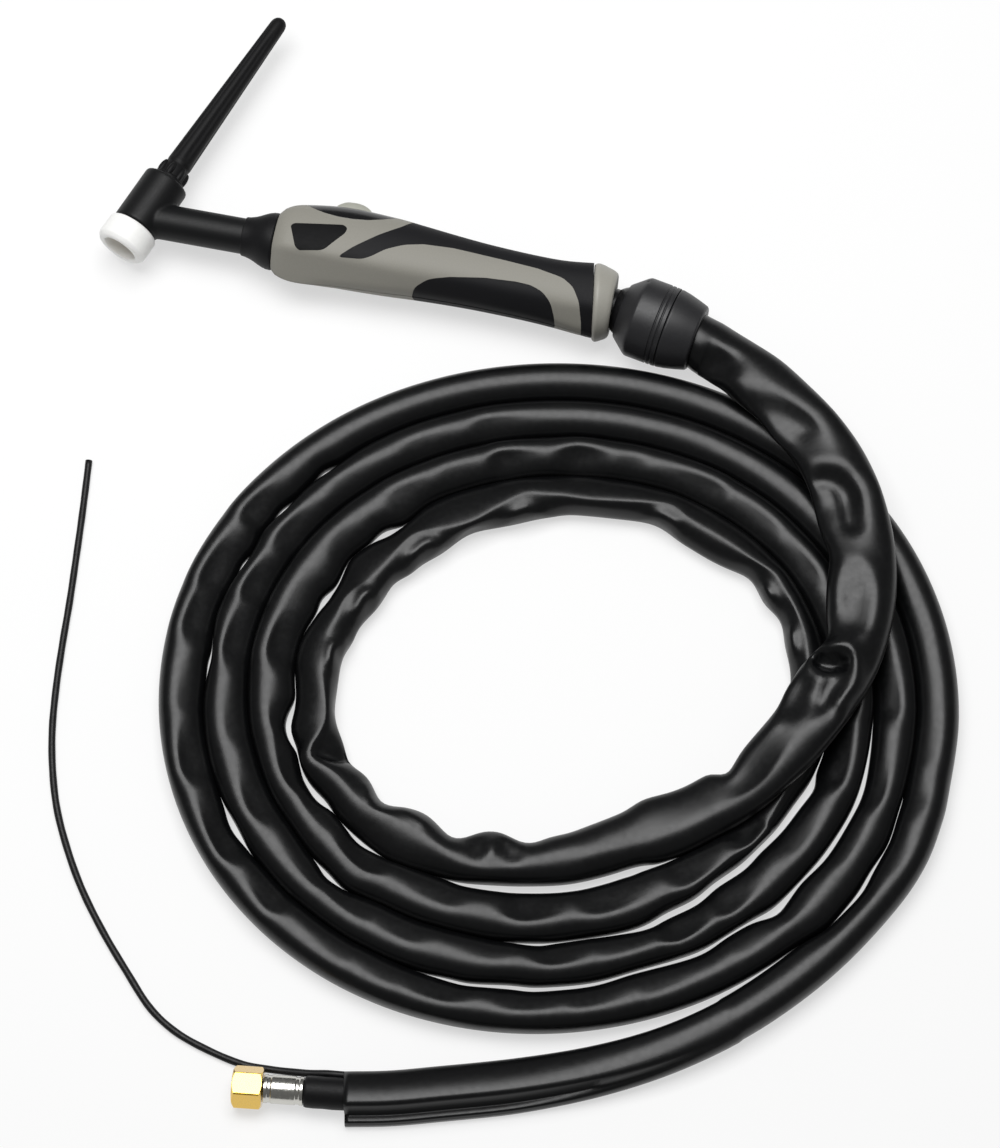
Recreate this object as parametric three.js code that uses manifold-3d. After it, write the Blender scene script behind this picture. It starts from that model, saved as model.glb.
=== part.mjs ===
// A gas-cooled TIG welding torch, lying on its side on a table, with its lead coiled beside it.
// Millimetres. The handle runs along +X from the head to the lead, the back cap points to +Y, +Z is up,
// and z = 0 is the table. Torch pieces are built about the handle's axis, round pieces about +X.
import * as THREE from 'three';
import { mergeVertices } from 'three/addons/utils/BufferGeometryUtils.js';
import Module from 'manifold-3d';

const wasm = await Module();
wasm.setup();

// ---- driving dimensions: general ----
const fit = 0.3; // gap between two pieces that meet
const roundSteps = 20; // facets round a turned piece
const knuckleSteps = 26; // facets round the ball and its socket
const ballRadius = 12.5; // ball joint between handle and lead
const seatRingWall = 3.5;
const cavityRadius = ballRadius + fit + seatRingWall;
const knuckleWall = 2.5;
const knuckleRadius = cavityRadius + knuckleWall; // widest round piece: it rests on the table
const axisHeight = knuckleRadius; // torch axis above the table

// ---- driving dimensions: head ----
const headAngle = 70; // degrees from the handle's axis to the back cap's axis
const headReach = 64; // handle's front edge to the barrel's axis
const barrelRadius = 11;
const barrelTop = 21.5; // along the barrel's axis, from where the neck's axis crosses it
const barrelBottom = -6;
const sleeveRadius = 7.2; // torch body inside the barrel
const colletBore = 5.1; // radius of the bore that takes the collet and the back cap
const sleeveNose = 5; // how far the torch body stands into the gasket
const neckRadius = 8.3;
const neckTubeRadius = 4.2;
const neckTubeBore = 2.6;
const gasketRadius = 12.2;
const gasketLength = 12.3;
const gasketBore = 8.2;
const gasketSeatDepth = 7.4; // depth of the wide bore that takes the cup
const capLength = 99.5; // visible length, from the barrel's top face
const capShank = 12.5; // length that screws into the barrel
const capCollarRadius = 7.8;
const capCollarLength = 6;
const capBaseRadius = 6.1;
const capTipRadius = 3.7;
const capBore = 2.3;
const ringSection = 1.2; // O-ring thickness along the shank

// ---- driving dimensions: handle ----
const handleLength = 148;
const wall = 2.4;
const inlayDepth = 1.6;
const spigotRadius = 9.5; // boot spigot and rear stem inside the shell
const bootRadius = 13.2;
const bootLength = 17;
// fraction of the handle's length, then the half size there
const topEdge = [[0, 13.2], [0.02, 16.2], [0.07, 19], [0.2, 21.6], [0.35, 20.8], [0.45, 19.2],
  [0.57, 17.1], [0.67, 15.6], [0.8, 14.4], [0.9, 14.2], [1, 15.6], [1.05, 15.8]];
const bottomEdge = [[0, 13.4], [0.02, 16.4], [0.07, 18.8], [0.12, 18.4], [0.2, 16.8], [0.35, 15.9],
  [0.45, 15], [0.57, 14.6], [0.67, 14.7], [0.8, 15.4], [0.9, 16.6], [1, 18.4], [1.05, 18.8]];
const sideFace = [[0, 12.8], [0.02, 14.8], [0.07, 16], [0.3, 15.8], [0.6, 14.4], [0.85, 14.6], [1, 16.2],
  [1.05, 16.4]];
const faceLean = 8.3; // degrees that the rear face leans, its top edge nearer the head
const endTilt = 8; // degrees that the ball's stem points down from the handle's axis
const endDrop = -1.5; // where the stem's axis passes the rear face, below the handle's axis
const flangeStep = 1.5; // the stem's flange stands out from the spigot inside the shell
const flangeStart = -12; // along the rear frame's X
const flangeEnd = -10.4;
const rearRingLength = 10;
const rearRingRadius = 17.8;
const hoseRadius = 5.6; // gas and power hose inside the handle
const hoseBore = 4.5;
const conductorRadius = 2.3;
const wireRadius = 0.9;
const screwSpots = [[16, -13], [54, -11], [130.8, -8.5]];
const screwHeadRadius = 2.2;
const screwShankRadius = 1.2;
const bossRadius = 2.9;

// ---- driving dimensions: trigger ----
const buttonStart = 23.5;
const buttonEnd = 41;
const buttonHalfWidth = 5.7;
const buttonTop = 25;
const bezelThickness = 2.2;
const travel = 1.5;
const switchBox = { start: 24, end: 33.5, floor: 9.8, top: 14.6, half: 2.9 };
const springTurns = 3.5;
const springRadius = 1.9;
const springWire = 0.4;
const springX = 37.5;

// ---- driving dimensions: knuckle ----
const ballStandoff = 7.1; // handle's rear face to the ball's near side
const ballReach = ballStandoff + ballRadius; // handle's rear face to the ball's centre
const stemRadius = 9.2;
const ballBore = 7.9;
const lipReach = 5; // shell's lip, ahead of the ball's centre
const knuckleBend = 3.2; // degrees between the stem and the knuckle's axis as it lies
const shellLength = 17.2; // ball's centre to the shell's rear edge
const clampLength = 14.2;
const clampEndRadius = 15;
const clampBore = 12.6;
const clampGrip = 7; // length of the clamp's rear end that holds the sheath

// ---- driving dimensions: lead ----
const coilCentre = [164, -183];
const coilStart = -50; // degrees
const coilTurns = 3.875;
const coilRadius = 89.9; // at the start
const coilPitch = 19.3; // growth of the radius in a turn
const coilOval = [7.4, 3.8]; // twice-round swell of the radius, cosine and sine
const coilShift = [0.8, -1.8]; // once-round swell
const coilDrift = [-0.4, -1.1]; // growth of the once-round swell in a turn
const strandRadius = 8.2;
const stepsPerTurn = 24;
const strandSides = 6;
const leadRadius = 8.3;
const tailHalfWidth = 11;
const tailHalfHeight = 8;
const nutAcrossFlats = 16;
const fittingHeight = nutAcrossFlats / 2 + 0.2; // axis of the hose end and nut above the table
const fittingTurn = 187; // degrees, direction in which the hose end points
const hoseEndRadius = 6.9;
const hoseEndLength = 16;
const ferruleRadius = 6.1;
const ferruleLength = 17;
const nutLength = 13;
const switchLeadRadius = 1.6;

const radians = THREE.MathUtils.degToRad;
const rearTurn = radians(-endTilt);
const knuckleTurn = radians(-endTilt - knuckleBend);

// ---- routes of the free lengths, in the torch's plan view with z above the table ----
const leadRoute = [[218, -18, 20.4], [230, -26.5, 22.6], [243, -37, 23.8], [257, -50, 24],
  [269.5, -64, 24], [279, -80, 24], [286, -97, 24], [290, -116, 24], [290.5, -135, 24], [287.5, -153, 24],
  [280.5, -171, 24], [271, -188, 23.2], [261.5, -203, 20.2], [253, -216, 15.7], [244.5, -229, 10.6]];
const tailRoute = [[322, -247, 8.2], [305, -275, 8.2], [287, -297, 8.2], [266, -317, 8.2],
  [242, -334, 8.2], [215, -348, 8.2], [184, -360, 8.2], [150, -370.5, 8.2], [131, -376, 8.2]];
const tailEnd = [112.5, -380, 8.2];
const switchLeadRoute = [[103, -369.8, 7.6], [94, -370.2, 5.6], [80, -372, 3], [66, -372.4, 1.7],
  [50, -370, 1.7], [35, -365, 1.7], [22, -357, 1.7], [9, -344, 1.7], [-5, -329, 1.7], [-18, -313, 1.7],
  [-28.5, -297, 1.7], [-38, -279, 1.7], [-44.5, -261, 1.7], [-49, -243, 1.7], [-52, -223, 1.7],
  [-54, -203, 1.7], [-55.5, -184, 1.7], [-57.5, -164, 1.7], [-59.5, -145, 1.7], [-61.5, -128, 1.7],
  [-63, -116, 1.7]];

// ---- materials ----
const finish = (color, roughness, metalness) => new THREE.MeshStandardMaterial({ color, roughness,
  metalness });
const blackMoulding = finish(0x1b1b1c, 0.45, 0);
const blackSoft = finish(0x29292b, 0.7, 0);
const greyPlastic = finish(0x8f9085, 0.55, 0);
const blackGloss = finish(0x101012, 0.25, 0);
const whiteGasket = finish(0xf2f2ee, 0.5, 0);
const rubber = finish(0x151515, 0.8, 0);
const brass = finish(0xd8b02c, 0.25, 1);
const copper = finish(0xb87333, 0.4, 1);
const steel = finish(0xb9b9b6, 0.3, 1);
const sheathBlack = finish(0x0e0e0f, 0.4, 0);
const redPlastic = finish(0x7a1f1c, 0.5, 0);

// ---- shape tools ----

// A closed body with merged corners, no empty triangles, and its faces pointing out.
function tidy(geometry) {
  const bare = new THREE.BufferGeometry();
  bare.setAttribute('position', geometry.getAttribute('position').clone());
  if (geometry.index) bare.setIndex(geometry.index.clone());
  const merged = mergeVertices(bare, 1e-4);
  const p = merged.getAttribute('position');
  const corners = [];
  let volume = 0;
  const [a, b, c] = [new THREE.Vector3(), new THREE.Vector3(), new THREE.Vector3()];
  for (let i = 0; i < merged.index.count; i += 3) {
    const [j, k, l] = [0, 1, 2].map((n) => merged.index.getX(i + n));
    if (j === k || k === l || l === j) continue;
    corners.push(j, k, l);
    c.fromBufferAttribute(p, l);
    volume += a.fromBufferAttribute(p, j).dot(b.fromBufferAttribute(p, k).cross(c));
  }
  if (volume < 0) corners.reverse();
  merged.setIndex(corners);
  return merged;
}

function toSolid(geometry) {
  const closed = tidy(geometry);
  const vertProperties = new Float32Array(closed.getAttribute('position').array);
  const triVerts = new Uint32Array(closed.index.array);
  return new wasm.Manifold(new wasm.Mesh({ numProp: 3, vertProperties, triVerts }));
}

// Facets that nearly touch leave slivers in a cut piece: they are smoothed away, and so are specks.
function toGeometry(solid) {
  const speck = 0.05;
  const sliver = 0.008;
  const bodies = solid.simplify(sliver).decompose().filter((body) => Math.abs(body.volume()) > speck);
  const { vertProperties, triVerts, numProp } = bodies.reduce((sum, body) => sum.add(body)).getMesh();
  const geometry = new THREE.BufferGeometry();
  const places = new Float32Array((vertProperties.length / numProp) * 3);
  for (let i = 0; i < places.length / 3; i += 1) {
    for (let n = 0; n < 3; n += 1) places[3 * i + n] = vertProperties[numProp * i + n];
  }
  geometry.setAttribute('position', new THREE.BufferAttribute(places, 3));
  geometry.setIndex(Array.from(triVerts));
  return geometry;
}

const cut = (body, ...tools) => tools.reduce((rest, tool) => rest.subtract(tool), body);
const join = (body, ...others) => others.reduce((sum, other) => sum.add(other), body);

// A round piece about +X, from its closed outline of [x, radius] points.
function turned(outline, steps = roundSteps) {
  const points = outline.map(([x, r]) => new THREE.Vector2(r, x));
  const [first, last] = [outline[0], outline[outline.length - 1]];
  if (first[1] > 0 || last[1] > 0) points.push(points[0].clone());
  return new THREE.LatheGeometry(points, steps).rotateZ(-Math.PI / 2);
}

const rod = (start, end, radius, steps = roundSteps) => turned([[start, 0], [start, radius], [end, radius],
  [end, 0]], steps);
const pipe = (start, end, radius, bore, steps = roundSteps) => turned(
  [[start, bore], [start, radius], [end, radius], [end, bore]], steps);

// Points of an arc on a sphere about the origin, as [x, radius], from one x to another.
function sphereArc(radius, from, to, steps) {
  return Array.from({ length: steps + 1 }, (_, i) => {
    const x = from + ((to - from) * i) / steps;
    return [x, Math.sqrt(radius * radius - x * x)];
  });
}

function block(x0, x1, y0, y1, z0, z1) {
  return new THREE.BoxGeometry(x1 - x0, y1 - y0, z1 - z0).translate((x0 + x1) / 2, (y0 + y1) / 2,
    (z0 + z1) / 2);
}

// A flat outline of [x, y] points pushed along z.
function prism(outline, z0, z1) {
  const shape = new THREE.Shape(outline.map(([x, y]) => new THREE.Vector2(x, y)));
  return new THREE.ExtrudeGeometry(shape, { depth: z1 - z0, bevelEnabled: false }).translate(0, 0, z0);
}

// The outline moved outwards by a distance.
function grow(outline, distance) {
  const area = outline.reduce((sum, [x, y], i) => {
    const [u, v] = outline[(i + 1) % outline.length];
    return sum + x * v - u * y;
  }, 0);
  const side = Math.sign(area);
  return outline.map(([x, y], i) => {
    const [px, py] = outline[(i + outline.length - 1) % outline.length];
    const [nx, ny] = outline[(i + 1) % outline.length];
    const before = new THREE.Vector2(y - py, px - x).normalize();
    const after = new THREE.Vector2(ny - y, x - nx).normalize();
    const out = before.clone().add(after).normalize();
    const reach = Math.min(distance / out.dot(before), 2 * distance);
    return [x + out.x * side * reach, y + out.y * side * reach];
  });
}

// A value from rows of [place, value], by a curve through the rows that never overshoots.
function along(rows, place) {
  const last = rows.length - 1;
  if (place <= rows[0][0]) return rows[0][1];
  if (place >= rows[last][0]) return rows[last][1];
  const i = rows.findIndex((row) => row[0] > place) - 1;
  const slope = (n) => (rows[n + 1][1] - rows[n][1]) / (rows[n + 1][0] - rows[n][0]);
  const bend = (n) => {
    if (n === 0) return slope(0);
    if (n === last) return slope(last - 1);
    const [s, t] = [slope(n - 1), slope(n)];
    return s * t <= 0 ? 0 : (2 * s * t) / (s + t);
  };
  const width = rows[i + 1][0] - rows[i][0];
  const u = (place - rows[i][0]) / width;
  const ease = u * u * (3 - 2 * u);
  return rows[i][1] * (1 - ease) + rows[i + 1][1] * ease
    + width * (bend(i) * u * (1 - u) ** 2 - bend(i + 1) * u * u * (1 - u));
}

// A closed skin over rings of points, each ring with as many points.
function skin(rings) {
  const sides = rings[0].length;
  const places = rings.flat().flatMap((p) => [p.x, p.y, p.z]);
  const corners = [];
  for (let i = 0; i + 1 < rings.length; i += 1) {
    for (let k = 0; k < sides; k += 1) {
      const [a, b] = [i * sides + k, i * sides + ((k + 1) % sides)];
      corners.push(a, b, b + sides, a, b + sides, a + sides);
    }
  }
  for (let k = 1; k + 1 < sides; k += 1) {
    const end = (rings.length - 1) * sides;
    corners.push(0, k + 1, k, end, end + k, end + k + 1);
  }
  const geometry = new THREE.BufferGeometry();
  geometry.setAttribute('position', new THREE.Float32BufferAttribute(places, 3));
  geometry.setIndex(corners);
  return geometry;
}

// The handle's outside, drawn in by an inset, between two places along it.
function handleForm(inset, start, end, stations, sides) {
  const fullness = 2.4;
  const rings = Array.from({ length: stations }, (_, i) => {
    const u = i / (stations - 1);
    const x = start + (end - start) * u;
    const place = x / handleLength;
    const [top, bottom, half] = [topEdge, bottomEdge, sideFace].map((rows) => along(rows, place) - inset);
    return Array.from({ length: sides }, (_, k) => {
      const angle = (2 * Math.PI * (k + 0.5)) / sides;
      const [c, s] = [Math.cos(angle), Math.sin(angle)];
      const y = (s > 0 ? top : bottom) * Math.sign(s) * Math.abs(s) ** (2 / fullness);
      const z = half * Math.sign(c) * Math.abs(c) ** (2 / fullness);
      return new THREE.Vector3(x, y, z);
    });
  });
  return toSolid(skin(rings));
}

// A tube with a plain section along a curve. The section's first radius is its half height.
function tube(points, halfHeight, halfWidth, sides, steps, bore = 0) {
  const ring = (a, b) => Array.from({ length: sides }, (_, k) => {
    const angle = (2 * Math.PI * (k + 0.5)) / sides;
    return new THREE.Vector2(a * Math.cos(angle), b * Math.sin(angle));
  });
  const section = new THREE.Shape(ring(halfHeight, halfWidth));
  if (bore > 0) section.holes.push(new THREE.Path(ring(bore, bore)));
  const extrudePath = new THREE.CatmullRomCurve3(points.map((p) => new THREE.Vector3(...p)));
  return new THREE.ExtrudeGeometry(section, { extrudePath, steps });
}

// A wound tube: one ring of points at each place of its route, square to the route.
function wound(route, radius, sides, up) {
  const rings = route.map((place, i) => {
    const ahead = route[Math.min(i + 1, route.length - 1)];
    const behind = route[Math.max(i - 1, 0)];
    const run = ahead.clone().sub(behind).normalize();
    const across = run.clone().cross(up).normalize();
    const rise = across.clone().cross(run);
    return Array.from({ length: sides }, (_, k) => {
      const angle = (2 * Math.PI * k) / sides;
      return place.clone().addScaledVector(across, radius * Math.cos(angle))
        .addScaledVector(rise, radius * Math.sin(angle));
    });
  });
  return skin(rings);
}

function piece(name, geometry, material) {
  const mesh = new THREE.Mesh(tidy(geometry), material);
  mesh.name = name;
  return mesh;
}

const solidPiece = (name, solid, material) => piece(name, toGeometry(solid), material);

// ---- head: torch body, insulation, gasket, back cap ----
function makeHead() {
  const group = new THREE.Group();
  const barrel = new THREE.Group();
  barrel.position.set(-headReach, 0, 0);
  barrel.rotation.z = radians(headAngle);
  barrel.updateMatrix();
  const onBarrel = (geometry) => geometry.applyMatrix4(barrel.matrix);

  const neckTubeEnd = 18;
  const tubeStart = 1 - headReach;
  const sleeveEnd = barrelTop - 3.5;
  const sleeve = toSolid(onBarrel(rod(barrelBottom - sleeveNose, sleeveEnd, sleeveRadius)));
  const neckTube = toSolid(rod(tubeStart, neckTubeEnd, neckTubeRadius, 16));
  const sleeveBore = toSolid(onBarrel(rod(barrelBottom - sleeveNose - 1, sleeveEnd + 1, colletBore)));
  const gasBore = toSolid(rod(tubeStart, neckTubeEnd + 1, neckTubeBore, 12));
  group.add(solidPiece('torch_body', cut(join(sleeve, neckTube), sleeveBore, gasBore), brass));

  const bevel = 1;
  const barrelOutline = [[barrelBottom, 0], [barrelBottom, barrelRadius - bevel / 2],
    [barrelBottom + bevel / 2, barrelRadius], [barrelTop - bevel, barrelRadius],
    [barrelTop, barrelRadius - bevel], [barrelTop, 0]];
  const neckEnd = 6;
  const outside = join(toSolid(onBarrel(turned(barrelOutline))),
    toSolid(rod(4 - headReach, neckEnd, neckRadius)));
  const room = join(
    toSolid(onBarrel(rod(barrelBottom - 1, sleeveEnd + fit, sleeveRadius + fit))),
    toSolid(onBarrel(rod(sleeveEnd - 1, barrelTop + 1, colletBore + fit))),
    toSolid(rod(tubeStart, neckEnd + 1, neckTubeRadius + fit, 16)));
  group.add(solidPiece('head_insulation', cut(outside, room), blackMoulding));

  const gasketBack = barrelBottom - fit;
  const gasketFront = gasketBack - gasketLength;
  const seatFloor = gasketFront + gasketSeatDepth;
  const edge = 1.2;
  barrel.add(piece('cup_gasket', turned([[gasketFront, gasketBore], [gasketFront, gasketRadius - edge],
    [gasketFront + edge, gasketRadius], [gasketBack - edge / 2, gasketRadius],
    [gasketBack, gasketRadius - edge / 2], [gasketBack, sleeveRadius + fit],
    [seatFloor, sleeveRadius + fit], [seatFloor, gasketBore]]), whiteGasket));

  const capStart = barrelTop + fit;
  const shankStart = capStart - capShank;
  const shankRadius = colletBore - fit;
  const grooveStart = shankStart + 4.2;
  const grooveEnd = grooveStart + ringSection + 2 * fit;
  const grooveRadius = shankRadius - 0.9;
  const capEnd = capStart + capLength;
  const taperStart = capStart + capCollarLength + 1.5;
  const tip = Array.from({ length: 4 }, (_, i) => {
    const angle = (Math.PI / 2) * (i / 4);
    return [capEnd - capTipRadius + capTipRadius * Math.sin(angle), capTipRadius * Math.cos(angle)];
  });
  barrel.add(piece('back_cap', turned([[shankStart, capBore], [shankStart, shankRadius],
    [grooveStart, shankRadius], [grooveStart, grooveRadius], [grooveEnd, grooveRadius],
    [grooveEnd, shankRadius], [capStart, shankRadius], [capStart, capCollarRadius - 0.5],
    [capStart + 0.5, capCollarRadius], [capStart + capCollarLength, capCollarRadius],
    [taperStart, capBaseRadius], ...tip, [capEnd, 0], [capEnd - 8, 0], [capEnd - 10, capBore]], 18),
    blackMoulding));
  barrel.add(piece('cap_o_ring',
    pipe(grooveStart + fit, grooveEnd - fit, colletBore - 0.25, grooveRadius + 0.2, 18), rubber));
  group.add(barrel);
  return group;
}

// ---- handle: shell halves, grips, plate, boot, rear ring ----

// A frame at the handle's rear end, its X pointing out and turned about z.
function endFrame(height, turn) {
  const frame = new THREE.Group();
  frame.position.set(handleLength, height, 0);
  frame.rotation.z = turn;
  frame.updateMatrix();
  return frame;
}

const reach = handleLength / 148; // the grips' outlines follow the handle's length
const rearGripOutline = [[31, -8.6], [37, -2.9], [47, 5.3], [56.6, 12.5], [61, 18], [64, 30], [165, 30],
  [165, -30], [147.4, -30], [146.6, -22], [145.4, -16], [142.8, -9], [139, -2.8], [133.5, 0.9],
  [121.6, 3.5], [107, 4.8], [92, 5.7], [82, 6.2], [68.3, 5.2], [59.8, 3], [52.1, -0.8], [46.4, -5.4],
  [42.1, -7.6]].map(([x, y]) => [x * reach, y]);
const palmGripOutline = [[66, -30], [67, -18], [69.4, -13.6], [75, -10.3], [84, -8], [99, -5.6],
  [112, -4.8], [119, -5.2], [124.4, -7.2], [128.8, -11.2], [131.6, -15.8], [133.2, -21],
  [134, -30]].map(([x, y]) => [x * reach, y]);
const plateOutline = [[6.9, 2.4], [8.4, 3.8], [30.6, 7.4], [32.8, 6], [32.2, 3.2], [24.8, -6],
  [22.6, -7.2], [13, -8.8], [11, -7.4]].map(([x, y]) => [x * reach, y]);
const bezelOutline = [[8, 30], [8.6, 19], [14, 14.6], [20, 12.4], [27, 11.4], [34, 11.5], [41, 12.6],
  [47, 14.8], [52, 17.6], [55, 21], [56, 30]];

function makeHandle() {
  const group = new THREE.Group();
  const rear = endFrame(endDrop, rearTurn);
  const onRear = (geometry) => geometry.applyMatrix4(rear.matrix);
  const face = endFrame(0, radians(faceLean));
  const far = 60; // past every side of the handle
  const pastFace = (gap) => toSolid(block(gap, far, -far, far, -far, far).applyMatrix4(face.matrix));
  const nearSpace = toSolid(block(-far, handleLength + far, -far, far, fit / 2, far));
  const farSpace = toSolid(block(-far, handleLength + far, -far, far, -far, -fit / 2));
  const sides = { near: { space: nearSpace, z: 1 }, far: { space: farSpace, z: -1 } };

  const skinForm = (inset) => handleForm(inset, 0, handleLength + 7, 15, 18);
  const outside = cut(skinForm(0), pastFace(0));
  const underInlay = skinForm(inlayDepth);
  const inlayFloor = skinForm(inlayDepth - fit);
  const cavity = join(
    handleForm(wall, 8, handleLength - 7.5, 9, 14),
    toSolid(rod(-1, 9, spigotRadius + fit)),
    toSolid(onRear(rod(flangeStart - fit, flangeEnd + fit, spigotRadius + flangeStep + fit))),
    toSolid(onRear(rod(flangeStart - 1, 5, spigotRadius + fit))));
  const gripSkin = cut(outside, inlayFloor);

  const well = toSolid(block(buttonStart - 2, buttonEnd + 2, switchBox.top + 1.2, far,
    -buttonHalfWidth - 1.7, buttonHalfWidth + 1.7));
  const buttonHole = toSolid(block(buttonStart - fit, buttonEnd + fit, 0, far, -buttonHalfWidth - fit,
    buttonHalfWidth + fit));
  const ribStart = switchBox.start + 0.5;
  const ribEnd = switchBox.end - 0.5;
  const ribInner = switchBox.half + fit;
  const ribs = join(
    toSolid(block(ribStart, ribEnd, switchBox.floor - 1, switchBox.top, ribInner, far)),
    toSolid(block(ribStart, ribEnd, switchBox.floor - 1, switchBox.top, -far, -ribInner)),
    toSolid(block(springX - 3, springX + 3, 8.2, 10, -far, far)));

  const bosses = screwSpots.map(([x, y]) => toSolid(rodAlongZ(x * reach, y, -far, far, bossRadius, 12)));
  const shellBody = cut(cut(outside, cavity).add(join(...bosses,
    ribs).intersect(handleForm(wall / 2, 1, handleLength - 3, 9, 14))),
    toSolid(tube(hoseRoute(), hoseRadius + fit, hoseRadius + fit, 12, 10)));
  const pocket = (outline, z0, z1) => cut(toSolid(prism(grow(outline, fit), z0, z1)), underInlay);
  const bezelPocket = pocket(bezelOutline, -far, far);

  Object.entries(sides).forEach(([side, { space, z }]) => {
    const [z0, z1] = z > 0 ? [0, far] : [-far, 0];
    const pockets = [rearGripOutline, palmGripOutline].map((outline) => pocket(outline, z0, z1));
    if (z > 0) pockets.push(pocket(plateOutline, z0, z1));
    const holes = screwSpots.flatMap(([x, y]) => {
      const pilot = toSolid(rodAlongZ(x * reach, y, -far, 8, screwShankRadius + fit / 2, 8));
      const headHole = toSolid(rodAlongZ(x * reach, y, -far, -8.5, screwHeadRadius + fit, 10));
      return z > 0 ? [pilot] : [pilot, headHole];
    });
    const shell = cut(shellBody.intersect(space), well, bezelPocket, ...pockets, ...holes);
    group.add(solidPiece(`handle_shell_${side}`, shell, greyPlastic));
    const inlay = (outline) => toSolid(prism(outline, z0, z1)).intersect(gripSkin).intersect(space);
    const rearGrip = cut(inlay(rearGripOutline), toSolid(prism(grow(bezelOutline, fit), -far, far)));
    group.add(solidPiece(`rear_grip_${side}`, rearGrip, blackSoft));
    group.add(solidPiece(`palm_grip_${side}`, inlay(palmGripOutline), blackSoft));
  });
  group.add(solidPiece('name_plate', toSolid(prism(plateOutline, 0, far)).intersect(gripSkin), blackGloss));

  const bezel = toSolid(prism(bezelOutline, -far, far)).intersect(gripSkin);
  group.add(solidPiece('trigger_surround', cut(bezel, buttonHole), blackGloss));

  group.add(piece('neck_boot', turned([[-bootLength, neckRadius + fit], [-bootLength, neckRadius + 0.9],
    [4.5 - bootLength, neckRadius + 1.2], [8 - bootLength, neckRadius + 2.6], [-3.2, bootRadius],
    [-fit, bootRadius], [-fit, spigotRadius], [7.5, spigotRadius], [7.5, neckRadius + fit]]), blackSoft));

  const ring = rearRingRadius;
  const ringForm = turned([[-8, 0], [-8, ring - 0.3], [3, ring], [6.4, ring - 0.2], [8.6, ring - 1.8],
    [rearRingLength, ring - 4.2], [rearRingLength - 2, spigotRadius + fit], [rearRingLength - 2, 0]]);
  const ringBody = toSolid(ringForm.translate(handleLength, endDrop, 0)).intersect(pastFace(fit));
  const stemHole = toSolid(onRear(rod(-10, 20, spigotRadius + fit)));
  group.add(solidPiece('handle_rear_ring', cut(ringBody, stemHole), greyPlastic));
  const behind = (offset) => ballReach + offset;
  const neckJoin = -Math.sqrt(ballRadius ** 2 - stemRadius ** 2);
  const ballBack = 8;
  const arc = sphereArc(ballRadius, neckJoin, ballBack, 7).map(([x, r]) => [behind(x), r]);
  const flangeRadius = spigotRadius + flangeStep;
  rear.add(piece('knuckle_ball', turned([[flangeStart, ballBore], [flangeStart, flangeRadius],
    [flangeEnd, flangeRadius], [flangeEnd, spigotRadius], [rearRingLength - 2.6, spigotRadius],
    [rearRingLength - 2.2, stemRadius], ...arc, [behind(ballBack), ballBore + 1.4],
    [behind(2), ballBore]], knuckleSteps), blackMoulding));
  group.add(rear);
  return group;
}

// A rod that runs along z.
function rodAlongZ(x, y, z0, z1, radius, steps) {
  return rod(z0, z1, radius, steps).rotateY(-Math.PI / 2).translate(x, y, 0);
}

// The ball's centre in the torch's frame.
function ballCentre() {
  return new THREE.Vector3(
    handleLength + ballReach * Math.cos(rearTurn), endDrop + ballReach * Math.sin(rearTurn), 0);
}

function hoseRoute() {
  const centre = ballCentre();
  return [[8.3, 0, 0], [45, 0, 0], [90, 0, 0], [handleLength - 20, -0.2, 0],
    [handleLength - 6, endDrop + 0.8, 0],
    [handleLength + 6, endDrop - 0.85, 0], [centre.x - 1, centre.y + 0.14, 0]];
}

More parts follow.
